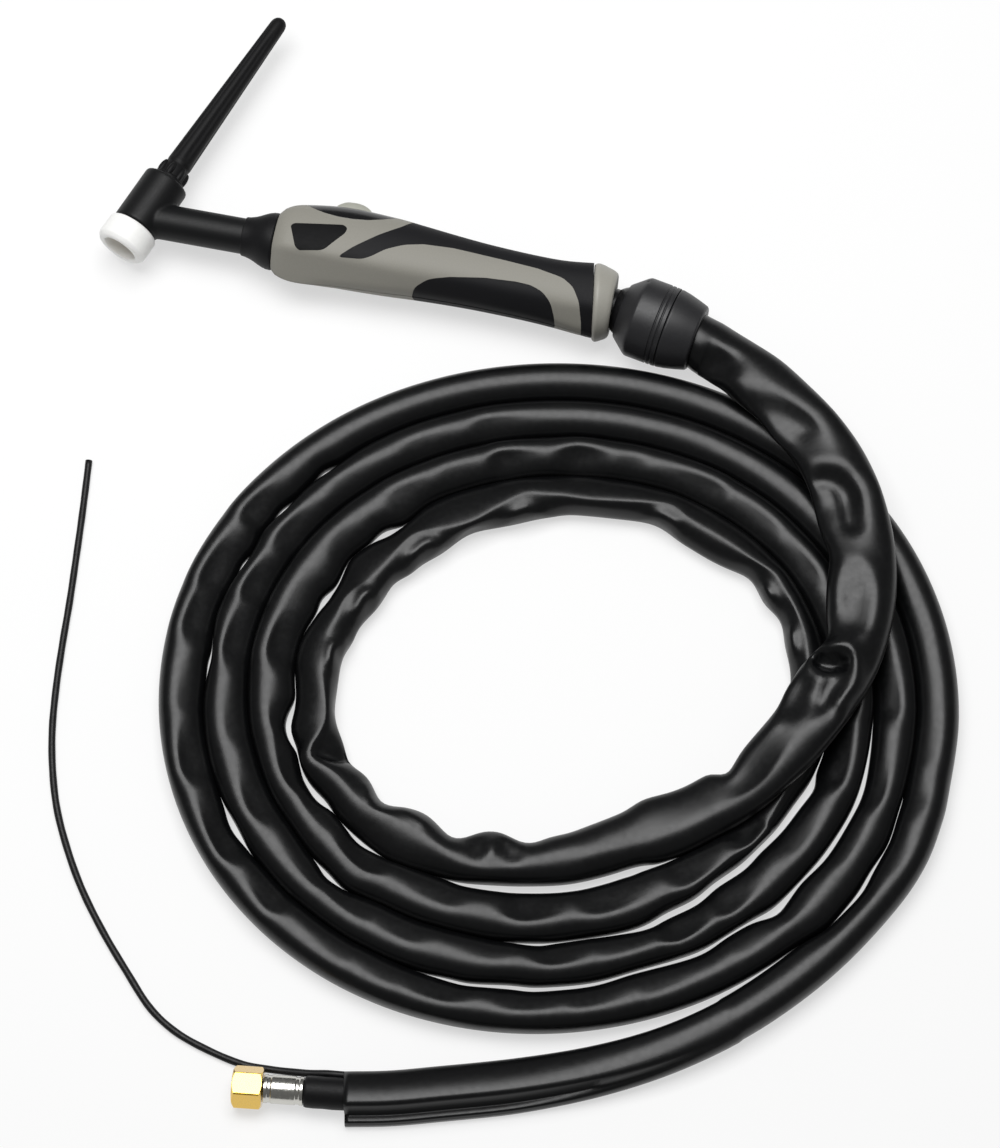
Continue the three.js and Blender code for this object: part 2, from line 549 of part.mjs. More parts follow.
// ---- inside the handle: hose, conductor, crimp ring, switch, wire, screws ----
function makeInsides() {
  const group = new THREE.Group();
  const route = hoseRoute();
  group.add(piece('handle_hose', tube(route, hoseRadius, hoseRadius, 12, 10, hoseBore), rubber));
  const strand = [[12, 0, 0], ...route.slice(1)];
  group.add(piece('copper_conductor', tube(strand, conductorRadius, conductorRadius, 8, 10), copper));
  group.add(piece('hose_crimp_ring', pipe(10, 17, hoseRadius + 1.3, hoseRadius + fit, 16), steel));
  const wireLift = hoseRadius + wireRadius + 0.25;
  const wire = [[switchBox.end + 1, 12.4, 2], [36.4, 12.2, 4], [42, 11.2, 4.4], [52, 9, 3],
    [62, wireLift + 0.6, 1], [74, wireLift, 0], ...route.slice(2).map(([x, y]) => [x, y + wireLift, 0])];
  group.add(piece('switch_wire', tube(wire, wireRadius, wireRadius, 6, 20), redPlastic));

  const { start, end, floor, top, half } = switchBox;
  const plungerX = 28.8;
  const plungerRadius = 1.1;
  const upright = (x, y0, y1, radius, steps) => rod(y0, y1, radius, steps)
    .rotateZ(Math.PI / 2).translate(x, 0, 0);
  const socket = toSolid(upright(plungerX, 11.8, top + 1, plungerRadius + fit, 10));
  group.add(solidPiece('microswitch', cut(toSolid(block(start, end, floor, top, -half, half)), socket),
    redPlastic));
  const plungerTop = top + travel - 0.2;
  group.add(piece('switch_plunger', upright(plungerX, 13.6, plungerTop, plungerRadius, 10), blackMoulding));

  const flangeFloor = 17;
  const flangeTop = along(topEdge, buttonStart / handleLength) - bezelThickness - 0.9;
  const crown = [[buttonStart, flangeFloor], [buttonStart, 21], [25.2, 22.9], [28, 24.6], [31, buttonTop],
    [34, buttonTop], [37, 24.2], [39.6, 22.6], [buttonEnd, 20.8], [buttonEnd, flangeFloor]];
  const button = join(
    toSolid(prism(crown, -buttonHalfWidth, buttonHalfWidth)),
    toSolid(block(buttonStart - 1.2, buttonEnd + 1.2, flangeFloor, flangeTop, -buttonHalfWidth - 1,
      buttonHalfWidth + 1)),
    toSolid(upright(plungerX, plungerTop + fit, flangeFloor + 1, 1.6, 10)));
  group.add(solidPiece('trigger_button', button, greyPlastic));

  const springFloor = 10 + fit + springWire;
  const springRise = flangeFloor - fit - springWire - springFloor;
  const springSteps = springTurns * 8;
  const springPoint = (i) => new THREE.Vector3(
    springX + springRadius * Math.cos((2 * Math.PI * i) / 8), springFloor + (springRise * i) / springSteps,
    springRadius * Math.sin((2 * Math.PI * i) / 8));
  const springPoints = Array.from({ length: springSteps + 1 }, (_, i) => springPoint(i));
  group.add(piece('switch_spring', wound(springPoints, springWire, 5, new THREE.Vector3(0, 1, 0)), steel));
  const springGap = springRise / springTurns - 2 * springWire;
  console.log(`switch_spring: least gap to itself ${springGap.toFixed(2)} mm`);

  screwSpots.forEach(([x, y], i) => {
    const spot = x * reach;
    const outerZ = -11.6;
    const screw = turned([[outerZ, 0], [outerZ, screwHeadRadius], [-8.5 - fit, screwHeadRadius],
      [-8.5 - fit, screwShankRadius], [5.4, screwShankRadius], [7, 0]], 10);
    group.add(piece(`shell_screw_${i + 1}`, screw.rotateY(-Math.PI / 2).translate(spot, y, 0), steel));
  });
  return group;
}

// ---- knuckle: seat ring, shell, clamp sleeve, hose in the lead ----
function makeKnuckle() {
  const group = new THREE.Group();
  group.position.copy(ballCentre());
  group.rotation.z = knuckleTurn;
  const seat = ballRadius + fit;
  const ringStart = 1.1;
  const ringEnd = 8.5;
  group.add(piece('ball_seat_ring', turned([[ringStart, cavityRadius - fit], [ringEnd, cavityRadius - fit],
    ...sphereArc(seat, ringEnd, ringStart, 4)], knuckleSteps), greyPlastic));
  const lip = Math.sqrt(seat ** 2 - lipReach ** 2);
  group.add(piece('knuckle_shell', turned([[-lipReach, lip], [-lipReach, lip + 0.8],
    [1.8, knuckleRadius - 0.6], [3, knuckleRadius], [shellLength - 2.6, knuckleRadius],
    [shellLength - 2.2, knuckleRadius - 0.5], [shellLength - 1.6, knuckleRadius - 0.5],
    [shellLength - 1.2, knuckleRadius - 0.1], [shellLength, knuckleRadius - 0.2],
    [shellLength, cavityRadius], [ringStart - fit, cavityRadius],
    ...sphereArc(seat, ringStart - fit - 0.2, -lipReach + 0.4, 4)], knuckleSteps), blackMoulding));
  const clampStart = shellLength + fit;
  const clampEnd = clampStart + clampLength;
  const gripStart = clampEnd - clampGrip;
  const gripBore = leadRadius + fit;
  group.add(piece('sheath_clamp', turned([[ringEnd + fit, clampBore], [ringEnd + fit, cavityRadius - fit],
    [clampStart, cavityRadius - fit], [clampStart, knuckleRadius - 0.3], [clampEnd - 0.4, clampEndRadius],
    [clampEnd, clampEndRadius - 0.6], [clampEnd, gripBore], [gripStart, gripBore],
    [gripStart - 3, clampBore]], knuckleSteps), blackMoulding));
  group.add(piece('knuckle_hose', pipe(ringEnd + 2, gripStart, hoseEndRadius, hoseEndRadius - 2, 16), rubber));
  return { group, clampEnd };
}

// ---- lead: first stretch, coil, tail, hose end, nut, switch lead ----
function coilPoint(turn) {
  const angle = radians(coilStart) - 2 * Math.PI * turn;
  const radius = coilRadius + coilPitch * turn
    + (coilShift[0] + coilDrift[0] * turn) * Math.cos(angle)
    + (coilShift[1] + coilDrift[1] * turn) * Math.sin(angle)
    + coilOval[0] * Math.cos(2 * angle) + coilOval[1] * Math.sin(2 * angle);
  return new THREE.Vector3(
    coilCentre[0] + radius * Math.cos(angle), coilCentre[1] + radius * Math.sin(angle), strandHeight());
}

const strandHeight = () => strandRadius * Math.cos(Math.PI / strandSides); // a flat side lies on the table

function coilRoute() {
  const steps = Math.round(coilTurns * stepsPerTurn);
  const turns = Array.from({ length: steps + 1 }, (_, i) => coilPoint((coilTurns * i) / steps));
  const straight = (turn, step) => {
    const place = coilPoint(turn);
    return place.clone().addScaledVector(place.clone().sub(coilPoint(turn - step)).normalize(),
      2 * strandRadius);
  };
  const little = 0.002; // of a turn
  return [straight(0, -little), ...turns, straight(coilTurns, little)];
}

// Least gap between the surfaces of stretches of the coil that are at least half a turn apart.
function coilGap(route) {
  let least = Infinity;
  for (let i = 0; i < route.length - 1; i += 1) {
    for (let j = i + stepsPerTurn / 2; j < route.length - 1; j += 1) {
      const stretch = new THREE.Line3(route[j], route[j + 1]);
      const nearest = new THREE.Vector3();
      stretch.closestPointToPoint(route[i], true, nearest);
      least = Math.min(least, nearest.distanceTo(route[i]));
    }
  }
  return least - 2 * strandRadius;
}

function makeLead(clamp) {
  const group = new THREE.Group();
  const onTable = (p) => [p[0], p[1], p[2] - axisHeight];
  const route = coilRoute();
  console.log(`sheath_coil: least gap to itself ${coilGap(route).toFixed(2)} mm`);
  const lowered = route.map((p) => new THREE.Vector3(p.x, p.y, p.z - axisHeight));
  group.add(piece('sheath_coil', wound(lowered, strandRadius, strandSides, new THREE.Vector3(0, 0, 1)),
    sheathBlack));

  const heading = new THREE.Vector3(Math.cos(knuckleTurn), Math.sin(knuckleTurn), 0);
  const leave = [fit - clampGrip, 2, 9].map((distance) => ballCentre()
    .addScaledVector(heading, clamp + distance).toArray());
  const joinRun = lowered[0].clone().sub(lowered[1]).normalize();
  const joinPlace = lowered[0].clone().addScaledVector(joinRun, fit);
  joinPlace.z = leadRadius - axisHeight;
  const joinAhead = [4, 8].map((distance) => joinPlace.clone().addScaledVector(joinRun,
    distance).toArray());
  const lead = [...leave, ...leadRoute.map(onTable), ...joinAhead.reverse(), joinPlace.toArray()];
  group.add(piece('sheath_lead', tube(lead, leadRadius, leadRadius, 10, 26), sheathBlack));

  const last = lowered.length - 1;
  const tailRun = lowered[last].clone().sub(lowered[last - 1]).normalize();
  const tailStart = lowered[last].clone().addScaledVector(tailRun, fit);
  tailStart.z = tailRoute[0][2] - axisHeight;
  const tailAhead = [7, 14].map((distance) => tailStart.clone().addScaledVector(tailRun,
    distance).toArray());
  const tail = [tailStart.toArray(), ...tailAhead, ...tailRoute.map(onTable), onTable(tailEnd)];
  group.add(piece('sheath_tail', tube(tail, tailHalfHeight, tailHalfWidth, 10, 18), sheathBlack));

  const fittings = new THREE.Group();
  fittings.position.set(tailEnd[0], tailEnd[1] + 1.4, fittingHeight - axisHeight);
  fittings.rotation.z = radians(fittingTurn);
  const hoseWall = 2;
  const gapToTail = 1.2;
  const hoseFront = gapToTail + hoseEndLength;
  fittings.add(piece('hose_end', pipe(gapToTail, hoseFront, hoseEndRadius, hoseEndRadius - hoseWall, 20),
    rubber));
  const ferruleBore = 3;
  const ferruleStart = hoseFront + fit;
  const ferruleEnd = ferruleStart + ferruleLength;
  fittings.add(piece('crimp_ferrule', turned([[ferruleStart - 8, ferruleBore],
    [ferruleStart - 8, hoseEndRadius - hoseWall - fit], [ferruleStart, hoseEndRadius - hoseWall - fit],
    [ferruleStart, ferruleRadius], [ferruleEnd - 0.5, ferruleRadius], [ferruleEnd, ferruleRadius - 0.5],
    [ferruleEnd, ferruleBore]], 20), steel));
  const nutStart = ferruleEnd + fit;
  const nutEnd = nutStart + nutLength;
  const threadBore = 6.3;
  const neckBore = 4.5;
  const nutWall = 3.4;
  const acrossCorners = nutAcrossFlats / Math.cos(Math.PI / 6);
  const hexagon = new THREE.CylinderGeometry(acrossCorners / 2, acrossCorners / 2, nutLength, 6)
    .rotateZ(Math.PI / 2).rotateX(Math.PI / 6).translate(nutStart + nutLength / 2, 0, 0);
  const bevels = turned([[nutStart, 0], [nutStart, nutAcrossFlats / 2],
    [nutStart + 1, acrossCorners / 2 + 0.05], [nutEnd - 1, acrossCorners / 2 + 0.05],
    [nutEnd, nutAcrossFlats / 2], [nutEnd, 0]], 18);
  const nutHole = turned([[nutStart - 1, 0], [nutStart - 1, neckBore], [nutStart + nutWall, neckBore],
    [nutStart + nutWall, threadBore], [nutEnd + 1, threadBore], [nutEnd + 1, 0]], 20);
  fittings.add(solidPiece('union_nut', cut(toSolid(hexagon).intersect(toSolid(bevels)), toSolid(nutHole)),
    brass));
  const nippleBore = 1.8;
  const collar = nutStart + nutWall + fit;
  fittings.add(piece('hose_nipple', turned([[ferruleStart, nippleBore], [ferruleStart, ferruleBore - fit],
    [ferruleEnd + 0.05, ferruleBore - fit], [ferruleEnd + fit, neckBore - fit], [collar, neckBore - fit],
    [collar, threadBore - fit], [collar + 2, threadBore - fit], [nutEnd - 3, neckBore - 1],
    [nutEnd - 2.4, nippleBore]], 20), brass));
  group.add(fittings);

  const leadStart = [tailEnd[0] - 3.5, tailEnd[1] + 9.5, 8.2];
  const switchLead = [leadStart, ...switchLeadRoute].map(onTable);
  group.add(piece('switch_lead', tube(switchLead, switchLeadRadius, switchLeadRadius, 8, 34), sheathBlack));
  return group;
}

// ---- the whole torch, its origin under the middle of the pieces that aren't the lead ----
function makeTorch() {
  const torch = new THREE.Group();
  const knuckle = makeKnuckle();
  torch.add(makeHead(), makeHandle(), makeInsides(), knuckle.group);
  torch.position.z = axisHeight;
  const all = new THREE.Group();
  all.add(torch);
  all.updateMatrixWorld(true);
  const box = new THREE.Box3().setFromObject(torch, true);
  const middle = box.getCenter(new THREE.Vector3());
  const lead = makeLead(knuckle.clampEnd);
  torch.add(lead);
  all.position.set(-middle.x, -middle.y, -box.min.z);
  all.updateMatrixWorld(true);
  return all;
}

export default makeTorch();
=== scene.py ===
import math

import bmesh
import bpy
import numpy as np
from mathutils import Matrix, Vector
from mathutils.geometry import delaunay_2d_cdt


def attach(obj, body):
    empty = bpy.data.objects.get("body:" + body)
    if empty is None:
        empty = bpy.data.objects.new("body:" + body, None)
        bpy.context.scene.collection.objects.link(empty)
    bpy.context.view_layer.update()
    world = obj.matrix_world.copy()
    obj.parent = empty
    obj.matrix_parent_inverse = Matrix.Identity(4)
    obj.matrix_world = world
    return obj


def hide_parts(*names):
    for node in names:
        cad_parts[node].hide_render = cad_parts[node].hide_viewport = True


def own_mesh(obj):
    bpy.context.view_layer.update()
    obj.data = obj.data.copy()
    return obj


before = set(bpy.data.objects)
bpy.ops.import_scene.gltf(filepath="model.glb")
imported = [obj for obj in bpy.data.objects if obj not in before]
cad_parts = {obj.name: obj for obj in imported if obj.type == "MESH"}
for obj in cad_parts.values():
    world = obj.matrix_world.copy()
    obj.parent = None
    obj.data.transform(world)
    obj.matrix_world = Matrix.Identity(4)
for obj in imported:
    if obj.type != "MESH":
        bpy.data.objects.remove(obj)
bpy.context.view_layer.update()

# ---- camera ----
# The torch lies on a table and is seen from well above its near side, with a
# long lens from about a metre and a half away.
mm = 0.001
view_to = Vector((71.07, -177.26, 0)) * mm
view_from = Vector((170.27, -680.56, 1409.5)) * mm
picture_turn = math.radians(11.15)
picture_right = Vector((math.cos(picture_turn), math.sin(picture_turn), 0))
picture_back = (view_from - view_to).normalized()
picture_up = picture_back.cross(picture_right)
camera = bpy.data.objects.new("camera", bpy.data.cameras.new("camera"))
camera.matrix_world = Matrix.Translation(view_from) @ Matrix(
    (picture_right, picture_up, picture_back)).transposed().to_4x4()
camera.data.sensor_width = 36
camera.data.lens = 104.53
bpy.context.collection.objects.link(camera)
bpy.context.scene.camera = camera

# ---- black sheath ----
# A soft PVC sleeve, extruded, that carries the hose and the cable. It comes out of the
# knuckle's clamp, lies over the coil, winds outward in four turns and ends in a plain cut.
# It is slack, so its inner side folds and dents where it bends.
axis_height = 18.8
torch_shift = np.array([-59.933, -44.258, 0.0])
ball_centre = np.array([167.409, -4.228])
knuckle_run = np.array([0.980955, -0.194234])
clamp_end = 31.7
lead_route = [
    [218, -18, 20.4], [230, -26.5, 22.6], [243, -37, 23.8], [257, -50, 24], [269.5, -64, 24],
    [279, -80, 24], [286, -97, 24], [290, -116, 24], [290.5, -135, 24], [287.5, -153, 24],
    [280.5, -171, 24], [272, -188, 23.2], [263.5, -203, 20.2], [254.5, -216.5, 15.4],
    [243.5, -226.5, 10.8], [232, -234, 8.3]]
coil_centre = np.array([164.0, -183.0])
coil_start = -50.0
coil_turns = 3.875
coil_height = 7.1
coil_points = 125
first_reach, turn_pitch = 89.9, 19.3
start_inset = 9
tail_height = 8.2
tail_route = [[x, y, tail_height] for x, y in (
    (333.2, -213), (329.6, -230), (321.2, -249), (305, -275), (287, -297), (266, -317),
    (242, -334), (215, -348), (184, -360), (150, -370.5), (131, -376), (112.5, -380))]
ring_step = 2.3
ring_sides = 48
wall_thickness = 0.8
table_clearance = 0.05


def in_row(points):
    """Millimetres on the torch's own axis, heights above the table, to metres in the frame."""
    return (np.asarray(points, float) + torch_shift) * mm


def distance_along(line):
    """How far along a line each of its points lies."""
    return np.concatenate([[0], np.cumsum(np.linalg.norm(np.diff(line, axis=0), axis=1))])


def unit(vectors):
    """Each vector at length one."""
    return vectors / np.linalg.norm(vectors, axis=1)[:, None]


def smooth_line(points, step):
    """Evenly spaced points on a smooth curve through the given ones."""
    p = np.asarray(points, float)
    p = np.vstack([2 * p[0] - p[1], p, 2 * p[-1] - p[-2]])
    per_span = 24
    u = np.linspace(0, 1, per_span, endpoint=False)[:, None]
    dense = []
    for a, b, c, d in zip(p, p[1:], p[2:], p[3:]):
        dense.append(0.5 * (2 * b + (c - a) * u + (2 * a - 5 * b + 4 * c - d) * u ** 2
                            + (3 * b - a - 3 * c + d) * u ** 3))
    dense = np.vstack(dense + [p[-2:-1]])
    run = distance_along(dense)
    count = max(2, round(run[-1] / step) + 1)
    places = np.linspace(0, run[-1], count)
    return np.stack([np.interp(places, run, dense[:, k]) for k in range(p.shape[1])], axis=1)


def coil_radius(turn, angle):
    """How far the line of a slightly oval coil lies from its centre."""
    return (first_reach + turn_pitch * turn + (0.8 - 0.4 * turn) * np.cos(angle)
            - (1.8 + 1.1 * turn) * np.sin(angle)
            + 7.4 * np.cos(2 * angle) + 3.8 * np.sin(2 * angle))


def mesh_piece(name, vertices, faces, material=None):
    """A new piece from points in metres in the frame."""
    mesh = bpy.data.meshes.new(name)
    mesh.from_pydata([tuple(v) for v in vertices], [], [tuple(f) for f in faces])
    mesh.validate()
    mesh.shade_smooth()
    obj = bpy.data.objects.new(name, mesh)
    bpy.context.collection.objects.link(obj)
    if material:
        mesh.materials.append(material)
    return obj


def ease(low, high, x):
    """0 below low, 1 above high, smooth between."""
    u = np.clip((np.asarray(x, float) - low) / (high - low), 0, 1)
    return u * u * (3 - 2 * u)


def linear(hex_colour):
    """An sRGB hex colour as linear RGBA."""
    values = [int(hex_colour[i:i + 2], 16) / 255 for i in (1, 3, 5)]
    return [v / 12.92 if v <= 0.04045 else ((v + 0.055) / 1.055) ** 2.4 for v in values] + [1.0]


def add_node(tree, kind, links=(), **settings):
    """Adds a node. A setting is one of the node's own, or an input by its name or number."""
    node = tree.nodes.new(kind)
    for key, value in settings.items():
        if hasattr(node, key):
            setattr(node, key, value)
        else:
            socket = node.inputs[int(key[1:])] if key[0] == "_" else node.inputs[
                key.replace("_", " ")]
            socket.default_value = value
    for output, name in links:
        tree.links.new(output, node.inputs[name])
    return node


def finish(name, grains, dark, light, rough, bump, relief, **shader):
    """A material whose colour, roughness and height vary with one noise, so many grains to the
    millimetre. Real grain is finer, and is drawn as coarse as it has to be to show. The relief
    is in millimetres."""
    material = bpy.data.materials.new(name)
    material.use_nodes = True
    tree = material.node_tree
    surface = tree.nodes["Principled BSDF"]
    for key, value in shader.items():
        surface.inputs[key.replace("_", " ")].default_value = value
    place = add_node(tree, "ShaderNodeTexCoord").outputs["Object"]
    noise = add_node(tree, "ShaderNodeTexNoise", [(place, "Vector")], Scale=grains / mm,
                     Detail=4.0).outputs["Fac"]
    colour = add_node(tree, "ShaderNodeMix", [(noise, "Factor")], data_type="RGBA",
                      _6=linear(dark), _7=linear(light))
    gloss = add_node(tree, "ShaderNodeMapRange", [(noise, "Value")], From_Min=0.3, From_Max=0.7,
                     To_Min=rough[0], To_Max=rough[1])
    height = add_node(tree, "ShaderNodeBump", [(noise, "Height")], Strength=bump,
                      Distance=relief * mm)
    for output, name in ((colour.outputs[2], "Base Color"), (gloss.outputs[0], "Roughness"),
                         (height.outputs[0], "Normal")):
        tree.links.new(output, surface.inputs[name])
    return material


def face_out(obj, merge=1e-7):
    """Doubles merged, then every face turned outward."""
    work = bmesh.new()
    work.from_mesh(obj.data)
    bmesh.ops.remove_doubles(work, verts=work.verts, dist=merge)
    bmesh.ops.recalc_face_normals(work, faces=work.faces)
    work.to_mesh(obj.data)
    work.free()
    return obj


# The first points carry the sheath straight out of the clamp's bore.
leave = [[*(ball_centre + knuckle_run * (clamp_end + d)), axis_height] for d in (-6.4, 2, 9)]
turns = np.linspace(0, coil_turns, coil_points)
angles = math.radians(coil_start) - 2 * math.pi * turns
reach = coil_radius(turns, angles) - start_inset * (1 - ease(0.01, 0.17, turns))
coil_line = np.stack([coil_centre[0] + reach * np.cos(angles),
                      coil_centre[1] + reach * np.sin(angles),
                      np.full_like(turns, coil_height)], axis=1)
sheath_line = smooth_line(np.vstack([leave, lead_route, coil_line, tail_route]), ring_step)
sheath_run = distance_along(sheath_line)
sheath_length = sheath_run[-1]


def run_at(x, y, z):
    """How far along the sheath the line passes nearest a point."""
    return sheath_run[np.argmin(np.linalg.norm(sheath_line - [x, y, z], axis=1))]


coil_begins = run_at(*coil_line[0])
coil_ends = run_at(*coil_line[-1])
turn_of = np.interp(sheath_run, [run_at(*point) for point in coil_line[::2]], turns[::2],
                    left=-1, right=9)
in_lead = sheath_run < coil_begins
in_tail = sheath_run > coil_ends
in_coil = ~in_lead & ~in_tail
around = np.arctan2(sheath_line[:, 1] - coil_centre[1], sheath_line[:, 0] - coil_centre[0])
forward = unit(np.gradient(sheath_line, axis=0))
outward = unit(np.cross([0, 0, 1], forward))
upward = np.cross(forward, outward)

# Edges and crests of the slack first stretch and of the innermost turn, seen from above.
lead_outer = [
    [200.7, 1.4], [208.4, -2], [217.9, -5.9], [228.5, -11.1], [238.1, -15.9], [249.1, -23.9],
    [258.1, -30.7], [268.2, -39.2], [277.6, -48.7], [286.4, -60.2], [293.4, -71.9],
    [298.2, -81.7], [303.2, -92.2], [305.8, -102.8], [306.8, -115.8], [306.7, -128.3],
    [305.6, -143], [303.2, -157.9], [298.4, -174], [290.4, -189.3], [283.4, -199.8],
    [275.2, -210.6], [264.8, -223], [251.9, -234.6], [236.6, -246.7], [226, -253],
    [216.4, -258.3], [207, -262]]
lead_inner = [
    [197.9, -27.7], [205.5, -31], [213.8, -32.7], [215.9, -35.2], [220, -38.2], [225.8, -41.8],
    [233.7, -46.9], [240.2, -54.2], [248, -59.3], [253.4, -65.8], [259, -73.1], [262.8, -80.8],
    [267.2, -92], [272.1, -100.3], [274.6, -105.3], [275.3, -119.8], [277.6, -134],
    [279.5, -142.6], [278, -148.4], [273.5, -155.1], [274.1, -149.2], [272.5, -152.4],
    [268.2, -163.5], [264.8, -172.1], [263.7, -178.6], [257.4, -189.9], [251.6, -199.6],
    [248.3, -208.1], [246.9, -212]]
inner_edge = [
    [257.4, -189.9], [251.6, -199.6], [248.3, -208.1], [246.9, -212], [241, -213.6],
    [231.9, -216.1], [224.6, -220.6], [212.6, -229.4], [200.4, -237.4], [190.7, -243.6],
    [183.4, -248.2], [175.8, -251.2], [169.9, -255.4], [164.6, -256.5], [163.3, -255.6],
    [156.9, -253.2], [150.9, -252.7], [144.3, -255.6], [139.1, -259.1], [134.5, -260],
    [127.4, -254.7], [120.7, -250.8], [112.1, -250], [103.9, -250.9], [100.9, -250.6],
    [95.5, -242.3], [90.4, -237.8], [85.3, -236.6], [83.1, -234.8], [79.6, -226.7],
    [75.2, -220.1], [72.4, -213], [71.5, -203.1], [70.8, -194.3], [70.9, -186], [73.9, -180.2],
    [74.1, -175.1], [76.1, -170.2], [81.5, -161.4], [83.8, -154.4], [86.1, -148.1],
    [92.5, -143.4], [96.2, -137.7], [102.5, -132.5], [107.5, -126.9], [112.4, -120.7],
    [117.9, -117], [128.1, -113], [136.1, -109.5], [142.8, -106.2], [151.2, -103.2],
    [154.6, -101.5], [164.9, -100.2], [177.9, -99.1], [189.1, -98.3], [195.3, -98.5],
    [200.9, -100.7], [206.8, -104.2], [214.4, -107.4], [223.8, -111.1], [232.9, -113.5],
    [240.9, -114.7], [243, -116.7], [246.4, -121.5], [249.9, -126.9], [255.6, -129.9],
    [259.3, -133.8], [260.8, -139.9], [262.7, -146], [265.4, -151.8], [267.8, -161.4],
    [267, -167]]
crest_line = [
    [242.1, -222.9], [230, -230.7], [211.9, -242.7], [192.4, -253.5], [174.8, -260.5],
    [163, -269], [153.9, -274], [143.9, -271.1], [131.1, -266.3], [120.8, -262.2], [108.1, -258],
    [98.1, -255.9], [94.3, -254.5], [85.8, -248.2], [77.3, -241.8], [69.6, -239.6], [65.8, -236],
    [67.1, -230.8], [70.1, -222.7], [68.9, -214.1], [65.4, -203.5], [62.1, -194], [61.7, -186.4],
    [62.7, -179.8], [65.2, -171.7], [66.5, -163.7], [70.1, -157.8], [76.1, -151.5],
    [81.6, -142.6], [85.9, -134], [90.6, -127.2], [97.3, -123.9], [106.4, -120.5],
    [115.2, -115.8], [123.5, -108.2], [130.8, -101.6], [137.3, -97.4], [143.6, -97.2],
    [152.5, -95.9], [163.8, -95.5], [176.6, -93.8], [190.2, -92], [198.8, -91], [204.2, -92.3],
    [210.3, -96.7], [221.5, -101], [230.8, -104.8], [240.2, -109.4], [247.7, -112.6],
    [253.3, -115.2], [255.7, -119.3], [260, -124], [264.5, -130.4], [269.3, -138.7],
    [272.5, -148]]
lead_crest = [
    [197.9, -17.5], [204.5, -17.4], [209.5, -17.6], [214.8, -20.4], [221.2, -26.8],
    [230.9, -32.5], [241.8, -35.1], [251.3, -39.9], [260, -44.8], [267.5, -52.3], [275.8, -61],
    [282.4, -71.4], [287.6, -82.5], [291.4, -94.4], [293.2, -105], [295, -115], [296.6, -125.5],
    [296.6, -135.7], [295.3, -145.6], [293, -158.4], [291.5, -166.2], [288.3, -174.2],
    [284.8, -181.3], [278.7, -190.6], [271.2, -200.9], [264, -213.5], [252.5, -225],
    [243, -231.5], [230.1, -239.5]]
# Where the table shows between turns: a line along each gap, and half its width at each point.
gaps = [
    ([[135, -278.1], [143.3, -279], [156.7, -278], [169.8, -276.1], [188, -271.9],
      [203, -265.4], [215.2, -258.5], [225.1, -253.4], [236.1, -246.7]],
     [0, 0.8, 1.5, 1.7, 1.8, 1.7, 1.5, 0.9, 0]),
    ([[165.2, -300.7], [179.7, -299.1], [188.6, -296.4], [212.6, -288], [225, -282.3],
      [231.9, -276.1], [243.8, -267.1], [250.4, -258.6], [260.7, -248.2], [266.1, -240.1],
      [273.7, -228.8], [279.7, -216.3], [284.3, -206.8], [284.9, -199.6]],
     [0, 0.7, 0.3, 0.4, 1.1, 1.4, 1.4, 1.3, 1.5, 1.2, 1.3, 1.5, 1.5, 0]),
    ([[132.9, -320.7], [146.5, -321.6], [154.6, -321.9], [172.9, -319.4], [183.4, -318.4],
      [206.2, -311.7], [223.3, -302.9], [247.9, -290.2], [259.4, -279.7], [268.7, -271.4],
      [277.2, -265.8], [281.5, -259.4], [286.7, -250], [295.2, -236.5], [302.9, -217.4],
      [306.2, -203.9], [306.9, -186.7], [306.1, -171]],
     [0, 0.7, 0.7, 1, 1, 0.8, 0.6, 0.9, 0.5, 0.7, 1.7, 1.2, 0.5, 0.9, 0.7, 0.9, 0.4, 0]),
    ([[302.8, -266.3], [312.3, -250.6], [316, -240.1], [320.8, -227.9]], [0, 0.7, 0.6, 0])]
# Short gaps, each widest in the middle.
short_gaps = [
    ([[41.2, -108], [45, -102.9], [50, -98.5]], 1.2),
    ([[26.5, -131], [29.9, -125.2], [34, -119]], 1.2),
    ([[16.5, -159], [18.2, -153.5], [20.6, -148]], 1.0),
    ([[13.3, -207], [13.4, -201.3], [13.2, -196]], 0.8),
    ([[33.5, -263.5], [40.6, -273.5], [49.3, -282.5]], 1.3),
    ([[72.5, -131.5], [78.1, -126.5], [84.8, -121.5]], 2.0),
    ([[55.3, -168.5], [58, -162.3], [62, -155.5]], 2.0),
    ([[53.2, -228], [53.7, -219.3], [54.6, -210.5]], 1.5),
    ([[63.5, -241.5], [67.2, -248.3], [72, -254.5]], 1.1),
    ([[86.5, -262.5], [95.7, -269.3], [106, -273.5]], 0.9),
    ([[79, -281.5], [85.1, -286.7], [92, -291]], 1.1)]
gaps += [(line, [0, half_gap, 0]) for line, half_gap in short_gaps]
# A place on the sheath meets the outline's points that lie this near its own cross-section.
outline_step, beside_half = 0.8, 1.0


def side_reach(outline, side, near, far):
    """For each place on the sheath, how far to that side the outline lies; NaN where it doesn't."""
    line = smooth_line(outline, outline_step)[:, :2]
    found = np.full(len(sheath_run), np.nan)
    for i in range(len(sheath_run)):
        offset = line - sheath_line[i, :2]
        beside = offset @ outward[i, :2] * side
        along = offset @ forward[i, :2]
        hit = (np.abs(along) < beside_half) & (beside > near) & (beside < far)
        if hit.any():
            found[i] = beside[hit].mean()
    return found


def blurred(values, sigma):
    """A running average along the sheath, sigma in rings."""
    span = int(3 * sigma) + 1
    kernel = np.exp(-0.5 * (np.arange(-span, span + 1) / sigma) ** 2)
    padded = np.pad(values, span, mode="edge")
    return np.convolve(padded, kernel / kernel.sum(), mode="valid")


def filled(found, usual, where):
    """The found reach where there is one, the usual one elsewhere."""
    return np.where(where & ~np.isnan(found), found, usual)


